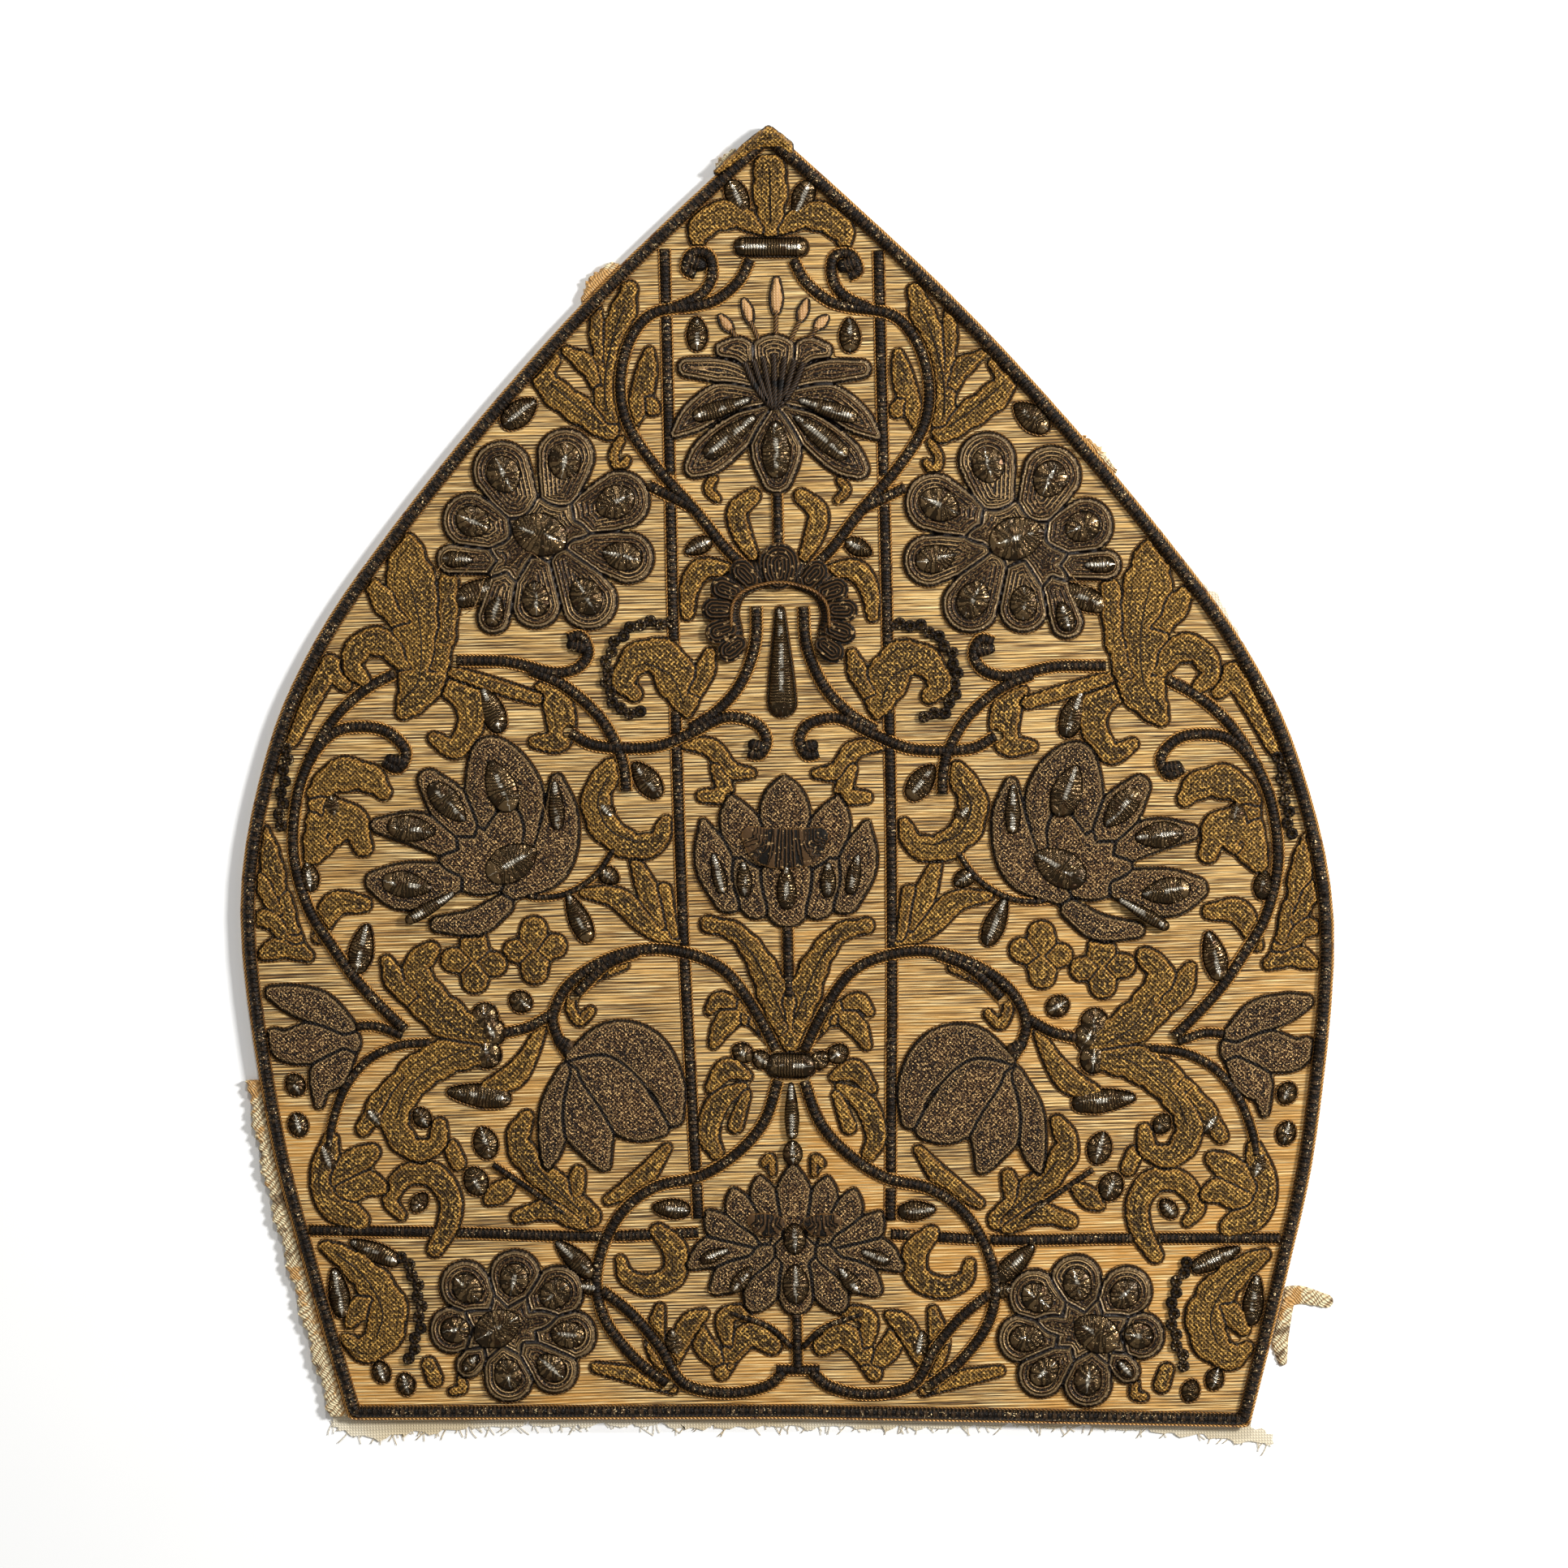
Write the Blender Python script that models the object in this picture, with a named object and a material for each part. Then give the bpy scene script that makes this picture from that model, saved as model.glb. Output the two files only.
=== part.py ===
"""Embroidered half of a baroque mitre, lying flat with its embroidery up.

The flat panel lies in the XY plane: +Z is out of the embroidered face, +Y is
the tip and +X is the right side as seen from above. All lengths are metres.
"""
import bmesh
import bpy
import numpy as np

# Sizes of the panel
PANEL_HEIGHT = 0.400
PANEL_WIDTH = 0.340
BASE_WIDTH = 0.276
LINING_THICKNESS = 0.0008
LINING_SHOW = 0.0014
GROUND_THICKNESS = 0.0024

# Sizes of the cords, bars and braid
BORDER_WIDTH = 0.0038
BORDER_RISE = 0.0030
BAR_WIDTH = 0.0034
BAR_RISE = 0.0008
STEM_WIDTH = 0.0034
STEM_RISE = 0.0022
BRAID_WIDTH = 0.0042
BRAID_THICKNESS = 0.0012

# Sizes of the padded work
LEAF_RISE = 0.0018
FLOWER_RISE = 0.0026

# Finest radius of a stroke, and the rounding where strokes and neighbours meet
FINEST = 0.0003
ROUNDING = 0.0014

# Room between neighbours, the fall of the right half in metres per metre from
# the middle, and the step of the grid that outlines are traced on
CLEARANCE = 0.0003
FALL = 0.064
TRACE_STEP = 0.0006
TRACE_TOLERANCE = 0.00025
ROUTE_STEPS = 5

# The tables give places in percent: across of half the width, up of the height.
# They were set out for a base of TABLE_BASE of the width, widest at WIDEST_UP.
TABLE_BASE = 0.812
WIDEST_UP = 40.0

LINING_BOTTOM = 0.0
LINING_TOP = LINING_BOTTOM + LINING_THICKNESS
GROUND_BOTTOM = LINING_TOP + CLEARANCE
GROUND_TOP = GROUND_BOTTOM + GROUND_THICKNESS
WORK_BOTTOM = GROUND_TOP + CLEARANCE

# Left edge from the tip to the lower corner: across, up
SIDE = ((0, 100), (-6, 98), (-30, 88.8), (-50, 80), (-70, 70), (-85, 61.2),
        (-94.6, 52.3), (-100, 40), (-96, 23.6), (-90, 12.5), (-82.4, 0.45))
BASE_MIDDLE = (0, -0.3)

# Scroll stems and bars: across, up
BAR = ((-19.6, 91), (-19.4, 45), (-17.6, 15.4))
BASE_BAR = ((-89, 15.2), (-60, 14.7), (-38, 14.2), (-17.6, 14.3))
TOP_STEM = (
    ((-4, 90.0), (-6, 88.4), (-10, 87), (-14, 86.5), (-22, 86.0), (-26.5, 83.8), (-28.3, 80.5),
     (-27, 77.3), (-22, 74), (-15, 70.5), (-10, 67.7), (-6.5, 66.2)),
    ((-18, 86.4), (-13, 87.4), (-11, 88.8), (-11.5, 90.4), (-14.5, 90.6), (-15.8, 89.4), (-14, 88.9)),
    ((-23.5, 72.6), (-19, 71.6), (-15.5, 70.8)),
)
COLLAR_STEM = (((-4.3, 63), (-4.7, 60), (-7.5, 57), (-12, 54.9), (-17, 53.6)),)
CIRCLE_STEM = (
    ((-59.5, 59.3), (-50, 59.1), (-42, 58.2), (-37.4, 58.5), (-35.3, 59.7), (-36.6, 61), (-39, 60.8)),
    ((-46, 58.4), (-40, 57.2), (-34, 54.9), (-30.5, 52.4), (-29.2, 50.5), (-29, 48.8)),
    ((-39, 53.5), (-34, 52.4), (-24, 52.2), (-17, 53.2), (-10.5, 54.4), (-5, 53.9), (-3, 52.6),
     (-4.3, 51.4), (-6.5, 51.6)),
)
OUTER_STEM = (
    ((-71, 58.4), (-76.4, 57.2), (-82, 55.1), (-86.4, 52.2), (-89.3, 49.0), (-90.2, 44.6),
     (-87.8, 40.4), (-83.7, 37.4), (-79.2, 34.6), (-74.6, 32.5)),
    ((-87, 51.8), (-83.4, 53.6), (-79.2, 54.3), (-73, 54), (-69.2, 52.4), (-70.6, 51), (-73.4, 51.6)),
)
ARCH_STEM = (
    ((-2.6, 28.4), (-6, 31.3), (-11, 34.4), (-17, 35.9), (-25, 36.5), (-33, 35.8), (-40, 34.0),
     (-43.3, 31.6), (-42.6, 29.8), (-40.5, 28.3)),
    ((-43.5, 31.6), (-48, 30.6), (-52.5, 30.2)),
    ((-27.5, 36.3), (-33.5, 35.3), (-39, 33.1)),
)
LOWER_STEM = (
    ((-2.4, 26), (-5, 22.9), (-10, 20.5), (-17, 18.7), (-25, 18), (-31, 16.3), (-35, 13.6),
     (-36.6, 10.6), (-35, 7.6), (-30, 4.7), (-24, 2.6)),
    ((-35.5, 10), (-30, 8), (-25, 5.4), (-21, 2.6), (-13, 1.75), (-6, 2.2), (-2.6, 3.3)),
)
LOTUS_STEM = (((-1.2, 38.0), (-1.2, 34.0)), ((1.2, 38.0), (1.2, 34.0)), ((0, 38.2), (0, 32.5)))

# Leaves and flowers, a row to a point of a stroke: across, up, width of the stroke
CREST = (
    ((0, 92.2, 3.5), (0, 94, 5.5), (0, 96.4, 6.2), (0, 98.0, 3.5)),
    ((-2, 92.6, 2.5), (-6, 93.8, 3.8), (-10, 93.9, 4.4), (-14.6, 92.2, 2.5)),
)
LILY = (
    ((0, 78.6, 5), (0, 80.4, 8), (0, 82.0, 10)),
    ((-2, 80.2, 3), (-9, 81.3, 4.6), (-16, 81.7, 3.5)),
    ((-2, 79.1, 4), (-9, 79.3, 6), (-14.5, 77.9, 5.6), (-18.4, 76.6, 2)),
    ((-1, 78.3, 4), (-7, 76.6, 6.6), (-12, 74.9, 7), (-15, 73.9, 4)),
    ((0, 78, 6), (0, 75.4, 9.6), (0, 73, 6)),
    ((-3, 81.5, 3), (-6, 83, 4.5), (-9.3, 83, 3)),
)
TOP_LEAF = (
    ((-30.6, 77.8, 4), (-31.2, 80.6, 4.4), (-29.8, 83.8, 5), (-27.4, 86.2, 4.6), (-26.2, 87.9, 3)),
    ((-31, 81.5, 3.4), (-32, 84.5, 3.4), (-32.6, 86.6, 2)),
    ((-31, 80, 3.4), (-34, 82, 3.8), (-38, 83.2, 2)),
    ((-30.6, 77, 4), (-35, 78.3, 5), (-40, 79.9, 5), (-42.4, 81.3, 4), (-40.3, 82.6, 2.6)),
)
UPPER_ROSETTE = (
    ((-38, 69.6, 9), (-44, 69.2, 12), (-49.5, 67, 9)),
    ((-40, 72, 7), (-38.6, 74.9, 10.6)), ((-47, 71, 7), (-50.3, 74, 10.8)),
    ((-50, 69, 7), (-56.4, 70.2, 10)), ((-37, 70, 7), (-28.8, 71.5, 10.8)),
    ((-37, 68, 6), (-27.6, 67, 9.4)), ((-39, 67, 6), (-35, 63.7, 10.4)),
    ((-45, 67, 6), (-44.6, 63.6, 9)), ((-50, 66, 5), (-52.5, 62.6, 6)),
    ((-51, 67, 5), (-60, 67.2, 5.4)),
)
ACANTHUS = (
    ((-69.4, 55.4, 3), (-66.2, 57.6, 8), (-65.6, 61, 10), (-67.2, 65, 9), (-68.6, 68.2, 6)),
    ((-66, 57.6, 4), (-71, 60.4, 5), (-76, 60.9, 5), (-78.8, 59.2, 3.8), (-76.4, 57.9, 2.6)),
    ((-67, 62, 6), (-72, 64, 5), (-74.4, 65.2, 3)),
    ((-64.4, 58.6, 6), (-62, 62, 5.6), (-60.6, 65.4, 3.6)),
)
CHAIN_LEAF = (
    ((-17.4, 54.8, 2), (-18.6, 57, 7.4), (-22, 59.2, 6.6), (-26.4, 59.1, 5.4), (-29, 57.4, 4.2),
     (-27, 56.4, 3)),
    ((-18, 56, 4), (-14.6, 57.6, 4), (-13, 59.4, 2.4)),
)
SHELL_COLLAR = (
    ((-9.4, 60.9, 4.6), (-10.2, 62.8, 5), (-7.8, 64.8, 5), (0, 65.9, 4.6)),
)
CENTRE_DROP = (((0, 62.2, 3), (0, 58.6, 4.4), (0, 55.6, 4.4)),)
LOOP_LEAF = (
    ((-31.6, 50.6, 4), (-34.4, 48.6, 5.2), (-33.6, 46.4, 5.4), (-28.6, 44.6, 5), (-23.6, 44.8, 4),
     (-21.8, 46.4, 2.4)),
)
PEONY = (
    ((-50.4, 45.6, 10), (-55, 44, 14), (-59, 43.6, 9)),
    ((-48, 45.2, 5), (-46.4, 48.6, 5), (-50, 51.3, 5.4), (-54.4, 52.2, 5), (-55.6, 49, 6),
     (-55, 46, 5)),
    ((-50, 41.6, 5), (-43.6, 43.4, 8.4), (-41.2, 46.8, 7), (-41.6, 49.8, 2.6)),
    ((-56, 45, 5), (-60.6, 47.6, 8), (-65, 50, 4.4)),
    ((-60, 44.6, 5), (-67, 46.2, 6.4), (-74.4, 46.6, 3)),
    ((-60, 42.4, 5), (-69, 41.8, 9), (-75, 42.2, 4.4)),
    ((-52, 40.2, 4), (-57, 38.9, 5), (-64, 38.8, 3)),
)
TONGUE_LEAF = (
    ((-86, 49.2, 3), (-81.5, 50.6, 6), (-76, 50.3, 5), (-73.4, 49.2, 3)),
    ((-86.6, 44.4, 3.6), (-83.6, 46.8, 8), (-79.6, 47, 6), (-77.4, 45, 3.4)),
    ((-85.4, 48.4, 4), (-83.6, 46, 5)),
)
SIDE_LEAF = (
    ((-92.8, 40.2, 3), (-94.2, 43.6, 4.4), (-95.6, 46.4, 2.4)),
    ((-92.4, 40, 4), (-95, 42, 4.6), (-96.4, 42.6, 2.6)),
    ((-90.6, 37.8, 4), (-93.6, 39.4, 4.4), (-96.6, 39.6, 2.6)),
    ((-88, 36.6, 2.4), (-92, 37.4, 4.4), (-96, 36.8, 2.6)),
    ((-92.6, 41, 4), (-91.2, 38.4, 4)),
)
MIDDLE_LOTUS = (
    ((0, 44, 9), (0, 47.2, 8.4), (0, 49.4, 1.6)), ((-3, 44.6, 8), (-7.6, 46.6, 7), (-9.2, 48.2, 1.6)),
    ((-7, 43.6, 9), (-13, 44.4, 7), (-15.4, 46.2, 1.8)), ((0, 43.6, 10), (0, 41.2, 9.4), (0, 39.8, 6)),
    ((-4, 43, 8), (-7.6, 41.2, 7.4), (-8.6, 40, 5)), ((-8, 43.6, 8), (-13.4, 42.2, 6.6), (-14.6, 41, 4)),
)
VASE_LEAF = (
    ((-0.5, 30.2, 5), (-2.4, 32.4, 6), (-5.4, 35.4, 4.6), (-9.4, 37.6, 3.4), (-14.4, 38.3, 3)),
    ((0, 31.8, 7), (0, 30, 5.6), (0, 28.9, 3)),
)
KNOT = (((-2.4, 27.2, 4.4), (2.4, 27.2, 4.4)),)
TULIP = (
    ((-39.8, 28.2, 3), (-33, 29.4, 7), (-27, 28.4, 9), (-22.6, 25.8, 6.4), (-21.8, 23.4, 4)),
    ((-38.6, 27.6, 5), (-34.4, 26, 12), (-29, 23.6, 9.4), (-24.8, 22.8, 5)),
    ((-39.4, 27, 5), (-38, 24, 11), (-36, 21.2, 6), (-34.6, 19.8, 2.6)),
    ((-40.8, 27, 4), (-43.2, 24.2, 6), (-44.2, 21.4, 4.6), (-45, 19.8, 1.6)),
)
TRUMPET_LEAF = (
    ((-57.4, 29.8, 6), (-62, 31.2, 7), (-66.4, 33, 7), (-68.4, 35.4, 5), (-65.4, 36.8, 3.6)),
    ((-67, 33, 5), (-71.4, 34.2, 4.6), (-73.6, 36, 2.6)),
    ((-57.8, 29, 6), (-63.6, 28.4, 6.6), (-70, 26.6, 6.6), (-73, 23.8, 5.4), (-70, 21.4, 4.4),
     (-65.4, 21.6, 3.6), (-64.6, 23.2, 3)),
    ((-71, 26.8, 4), (-75.4, 25, 4), (-78.6, 23, 2.6)),
)
BELL_FLOWER = (
    ((-81.8, 30.8, 5), (-86, 32.4, 6.4), (-90.8, 33.2, 5.4), (-94.8, 33.8, 2.6)),
    ((-81.6, 29.8, 6), (-87, 29.8, 8), (-92, 29.6, 6), (-94.6, 30.4, 3)),
    ((-82, 29, 5), (-84.4, 27.6, 7), (-86.2, 26.6, 4), (-86.6, 25, 1.8)),
)
CORNER_LEAF = (
    ((-83, 13.2, 3), (-78.6, 11.2, 6.4), (-76, 8.6, 9), (-76.4, 6.2, 7), (-80, 5.2, 4)),
    ((-76, 9, 5), (-72.4, 10.4, 4), (-70.6, 10.8, 3)), ((-75, 7, 5), (-72, 6.8, 4), (-70.6, 6.2, 2.6)),
)
TULIP_LEAF = (
    ((-38.4, 15.8, 4), (-42.6, 17.8, 5), (-47.6, 19.8, 5), (-50.4, 21.8, 4.4), (-48.6, 23.6, 3)),
    ((-37.4, 15.8, 4), (-40.2, 17.2, 3.6), (-39.4, 19.2, 3)),
    ((-39, 15.4, 3.4), (-44.6, 16.4, 4), (-50.6, 15.9, 2.6)),
)
LOWER_LOTUS = (
    ((0, 14, 9), (0, 17, 7), (0, 19.2, 1.6)), ((-4, 14.6, 7), (-7, 17, 5.4), (-7.8, 18.4, 2)),
    ((-6, 14.4, 7), (-11.4, 16.2, 6), (-12.6, 17.6, 2.4)),
    ((-8, 13.6, 7), (-14.4, 12.8, 7), (-18, 11.6, 5.4)),
    ((0, 13.4, 10), (0, 11, 10), (0, 9.4, 7)), ((-5, 12.4, 7), (-9.4, 10.4, 7.4), (-11.4, 9.6, 5)),
)
LOWER_ROSETTE = (
    ((-48, 7.8, 10), (-54, 7.4, 14), (-58, 7.4, 9)),
    ((-53, 8.6, 7), (-51.4, 11.3, 9.4)), ((-56, 8.6, 7), (-60.6, 10.6, 9.2)),
    ((-49, 8.4, 7), (-43.6, 10, 9.4)), ((-49, 7, 6), (-41.2, 6.6, 8.8)),
    ((-50, 6, 6), (-44.6, 3.9, 8.6)), ((-54, 6, 7), (-53, 3.4, 9)),
    ((-57, 6, 5), (-60.4, 4.4, 4.6)), ((-58, 7.4, 6), (-63, 7.2, 8.6)),
)
KNOB = (((-8, 97.5, 2.4), (-4, 98.7, 3), (0, 99.2, 4.6), (3, 98.9, 2.6)),)
CREST_TIE = (((-5, 91.0, 3.4), (5, 91.0, 3.4)),)
TORN_END = (((88.8, 10.4, 4), (92.4, 10.8, 3.4), (97.4, 10.4, 2.4)),
            ((89.4, 10.2, 4), (88.6, 7.6, 3.4), (89, 5.6, 1.8)))
LINING_HEM = ((-86, 0.5, 2.4), (-80, -0.45, 3.2), (-72, -0.35, 2.6), (-50, 0.1, 2.4), (-20, -0.3, 2.6),
              (0, -0.55, 2.4), (20, -0.2, 3), (40, 0.25, 2.6), (60, 0.4, 3), (76, 0.2, 4),
              (84, -0.3, 2.6), (87, -0.8, 1.2))
LINING_SIDE = ((70, 69.2, 1), (76, 66.1, 3), (82, 62.6, 3.4), (84.8, 60.4, 1.6))

# Materials: colour, roughness, metallic
SILK = ((0.62, 0.46, 0.26), 0.62, 0.25)
CREAM = ((0.82, 0.76, 0.60), 0.9, 0.0)
DARK_CORD = ((0.035, 0.022, 0.012), 0.5, 0.45)
GILT = ((0.24, 0.14, 0.04), 0.48, 0.6)
TARNISH = ((0.085, 0.062, 0.042), 0.45, 0.6)
BRAID = ((0.42, 0.30, 0.15), 0.7, 0.2)


def clear_scene():
    for item in list(bpy.data.objects):
        bpy.data.objects.remove(item, do_unlink=True)


def spot(across, up):
    """Place in metres of a table entry, on the left or the right half."""
    drop = max(0.0, 1.0 - up / WIDEST_UP)
    base = BASE_WIDTH / (TABLE_BASE * PANEL_WIDTH)
    x = across / 100 * PANEL_WIDTH / 2 * (1 + (base - 1) * drop)
    y = (up / 100 - 0.5) * PANEL_HEIGHT - FALL * max(x, 0.0)
    return x, y


def smooth(rows, steps=ROUTE_STEPS):
    """Curve through all rows of numbers, with straight continuations at its ends."""
    rows = [np.array(row, float) for row in rows]
    rows = [2 * rows[0] - rows[1]] + rows + [2 * rows[-1] - rows[-2]]
    curve = []
    for a, b, c, d in zip(rows, rows[1:], rows[2:], rows[3:]):
        for step in range(steps):
            t = step / steps
            bend = (2 * a - 5 * b + 4 * c - d) * t ** 2 + (3 * b - a - 3 * c + d) * t ** 3
            curve.append((2 * b + (c - a) * t + bend) / 2)
    curve.append(rows[-2])
    return curve


def stroke(rows, width=None):
    """Smooth stroke of (x, y, radius) from table rows, of one width or of their own."""
    placed = []
    for row in rows:
        share = row[2] / 100 * PANEL_WIDTH / 2 if width is None else width
        placed.append((*spot(row[0], row[1]), share / 2))
    return smooth(placed)


def soft_min(a, b):
    """Smaller of two distances, rounded where they are nearly the same."""
    near = np.maximum(ROUNDING - np.abs(a - b), 0.0) / ROUNDING
    return np.minimum(a, b) - near ** 2 * ROUNDING / 4


def mirrored(strokes):
    return tuple(tuple((-row[0],) + tuple(row[1:]) for row in rows) for rows in strokes)


def side_outline():
    """Whole edge of the panel, up the right side from its corner and down the left."""
    left = smooth([spot(*row) for row in SIDE])
    right = smooth([spot(-row[0], row[1]) for row in SIDE])
    return np.array(right[:0:-1] + left + [spot(*BASE_MIDDLE)])


class Sheet:
    """Grid over the panel that keeps the distance to everything laid so far."""

    def __init__(self, edge):
        margin = 0.06 * PANEL_WIDTH
        low = edge.min(axis=0) - margin
        high = edge.max(axis=0) + margin
        self.xs = np.arange(low[0], high[0], TRACE_STEP)
        self.ys = np.arange(low[1], high[1], TRACE_STEP)
        self.x, self.y = np.meshgrid(self.xs, self.ys, indexing="ij")
        self.laid = np.full(self.x.shape, PANEL_HEIGHT)

    def window(self, strokes):
        """Slices of the grid around some strokes."""
        points = np.array([point for curve in strokes for point in curve])
        reach = points[:, 2].max() + 6 * TRACE_STEP
        low = points.min(axis=0)[:2] - reach
        high = points.max(axis=0)[:2] + reach
        first = np.searchsorted(self.xs, low[0]), np.searchsorted(self.ys, low[1])
        last = np.searchsorted(self.xs, high[0]), np.searchsorted(self.ys, high[1])
        return slice(first[0], last[0]), slice(first[1], last[1])

    def distance(self, strokes, part):
        """Distance to the nearest edge of some strokes, negative inside them."""
        x, y = self.x[part], self.y[part]
        whole = np.full(x.shape, PANEL_HEIGHT)
        for curve in strokes:
            best = np.full(x.shape, PANEL_HEIGHT)
            for (ax, ay, ar), (bx, by, br) in zip(curve, curve[1:]):
                run = max((bx - ax) ** 2 + (by - ay) ** 2, FINEST ** 4)
                share = np.clip(((x - ax) * (bx - ax) + (y - ay) * (by - ay)) / run, 0, 1)
                reach = np.hypot(x - ax - share * (bx - ax), y - ay - share * (by - ay))
                best = np.minimum(best, reach - np.maximum(ar + share * (br - ar), FINEST))
            whole = soft_min(whole, best)
        return whole

    def lay(self, field, part):
        self.laid[part] = np.minimum(self.laid[part], field)


def outline_distance(sheet, edge):
    """Distance to the closed edge of the panel, negative inside it."""
    ring = [(x, y, 0.0) for x, y in edge] + [(*edge[0], 0.0)]
    far = sheet.distance([ring], (slice(None), slice(None))) + FINEST
    inside = np.zeros(sheet.x.shape, bool)
    for (ax, ay, _), (bx, by, _) in zip(ring, ring[1:]):
        spans = (ay > sheet.y) != (by > sheet.y)
        slope = (bx - ax) / (by - ay) if by != ay else 0.0
        inside ^= spans & (sheet.x < ax + (sheet.y - ay) * slope)
    return np.where(inside, -far, far)


def corner_links(solid):
    """Links from edge to edge of the grid cells that an outline crosses."""
    mixed = solid[:-1, :-1].astype(int) + solid[1:, :-1] + solid[1:, 1:] + solid[:-1, 1:]
    links = {}
    for i, j in np.argwhere((mixed > 0) & (mixed < 4)).tolist():
        ring = ((i, j), (i + 1, j), (i + 1, j + 1), (i, j + 1))
        for k in range(4):
            if solid[ring[k]] and not solid[ring[(k + 1) % 4]]:
                back = k - 1
                while not (not solid[ring[back % 4]] and solid[ring[(back + 1) % 4]]):
                    back -= 1
                leave = (ring[back % 4], ring[(back + 1) % 4])
                links[tuple(sorted((ring[k], ring[(k + 1) % 4])))] = tuple(sorted(leave))
    return links


def trace(field, xs, ys):
    """Closed loops where the field is zero, with its solid side on their left."""
    links = corner_links(field < 0)
    loops = []
    while links:
        start, following = links.popitem()
        chain = [start]
        while following != start:
            chain.append(following)
            following = links.pop(following)
        loop = []
        for a, b in chain:
            share = field[a] / (field[a] - field[b])
            loop.append((xs[a[0]] + share * (xs[b[0]] - xs[a[0]]),
                         ys[a[1]] + share * (ys[b[1]] - ys[a[1]])))
        loops.append(loop)
    return loops


def thin(points):
    """Fewest points of an open run that stay within the tracing tolerance."""
    run = np.array(points)
    chord = run[-1] - run[0]
    away = run - run[0]
    length = max(np.hypot(*chord), 1e-9)
    off = np.abs(away[:, 0] * chord[1] - away[:, 1] * chord[0]) / length
    worst = int(off.argmax())
    if len(run) < 3 or off[worst] < TRACE_TOLERANCE:
        return [points[0], points[-1]]
    return thin(points[:worst + 1])[:-1] + thin(points[worst:])


def thin_loop(loop):
    """Closed loop with only the points that its shape needs."""
    run = np.array(loop)
    far = int(np.hypot(*(run - run[0]).T).argmax())
    return thin(loop[:far + 1])[:-1] + thin(loop[far:] + loop[:1])[:-1]


def area(loop):
    run = np.array(loop)
    after = np.roll(run, -1, axis=0)
    return float((run[:, 0] * after[:, 1] - run[:, 1] * after[:, 0]).sum() / 2)


def contains(loop, point):
    inside = False
    for (ax, ay), (bx, by) in zip(loop, loop[1:] + loop[:1]):
        if (ay > point[1]) != (by > point[1]) and point[0] < ax + (point[1] - ay) * (bx - ax) / (by - ay):
            inside = not inside
    return inside


def plate(name, field, xs, ys, bottom, top, look):
    """Flat solid of the largest area inside a field, with its holes."""
    loops = trace(field, xs, ys)
    outer = max(loops, key=area)
    small = (4 * TRACE_STEP) ** 2
    holes = [loop for loop in loops if area(loop) < -small and contains(outer, loop[0])]
    loops = [thin_loop(loop) for loop in [outer] + holes]
    solid = bmesh.new()
    rings = [[solid.verts.new((x, y, bottom)) for x, y in loop] for loop in loops]
    if holes:
        edges = [solid.edges.new((a, b)) for ring in rings for a, b in zip(ring, ring[1:] + ring[:1])]
        bmesh.ops.triangle_fill(solid, edges=edges, use_beauty=True, normal=(0, 0, 1))
    else:
        solid.faces.new(rings[0])
    raised = bmesh.ops.extrude_face_region(solid, geom=solid.faces[:], use_keep_orig=True)
    lifted = [item for item in raised["geom"] if isinstance(item, bmesh.types.BMVert)]
    bmesh.ops.translate(solid, verts=lifted, vec=(0, 0, top - bottom))
    bmesh.ops.recalc_face_normals(solid, faces=solid.faces[:])
    mesh = bpy.data.meshes.new(name)
    solid.to_mesh(mesh)
    solid.free()
    item = bpy.data.objects.new(name, mesh)
    bpy.context.scene.collection.objects.link(item)
    if look:
        mesh.materials.append(look)
    return item


def material(name, values):
    """Plain surface of a colour, roughness and metallic value."""
    colour, roughness, metallic = values
    look = bpy.data.materials.new(name)
    look.use_nodes = True
    surface = look.node_tree.nodes["Principled BSDF"]
    surface.inputs["Base Color"].default_value = (*colour, 1)
    surface.inputs["Roughness"].default_value = roughness
    surface.inputs["Metallic"].default_value = metallic
    return look


def build_layers(sheet, edge_distance, looks):
    """Lining, ground panel, seam braid and the cord around the edge."""
    whole = (slice(None), slice(None))
    low, high = spot(0, 2.5)[1], spot(0, 27)[1]
    band = np.maximum(edge_distance - CLEARANCE - BRAID_WIDTH, CLEARANCE - edge_distance)
    braid = np.maximum.reduce([band, sheet.x, low - sheet.y, sheet.y - high])
    tails = [stroke(LINING_HEM), stroke(LINING_SIDE)]
    lining = np.minimum(edge_distance - LINING_SHOW, sheet.distance(tails, whole))
    lining = np.minimum(lining, braid - CLEARANCE)
    plate("lining", lining, sheet.xs, sheet.ys, LINING_BOTTOM, LINING_TOP, looks["cream"])
    torn = np.maximum(sheet.distance([stroke(rows) for rows in TORN_END], whole), CLEARANCE - lining)
    plate("galloon_scrap_right", torn, sheet.xs, sheet.ys, LINING_BOTTOM, BRAID_THICKNESS, looks["braid"])
    plate("galloon_left", braid, sheet.xs, sheet.ys, GROUND_BOTTOM, GROUND_BOTTOM + BRAID_THICKNESS,
          looks["braid"])
    plate("ground_panel", edge_distance, sheet.xs, sheet.ys, GROUND_BOTTOM, GROUND_TOP, looks["silk"])
    knob = sheet.distance([stroke(rows) for rows in KNOB], whole)
    knob = np.maximum(knob, edge_distance + CLEARANCE)
    plate("apex_knob", knob, sheet.xs, sheet.ys, WORK_BOTTOM, WORK_BOTTOM + BORDER_RISE, looks["braid"])
    inset = edge_distance + CLEARANCE
    border = np.maximum.reduce([inset, -inset - BORDER_WIDTH, CLEARANCE - knob])
    plate("border_cord", border, sheet.xs, sheet.ys, WORK_BOTTOM, WORK_BOTTOM + BORDER_RISE, looks["cord"])
    sheet.lay(np.minimum(border, knob), whole)
    sheet.lay(-inset, whole)


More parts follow.
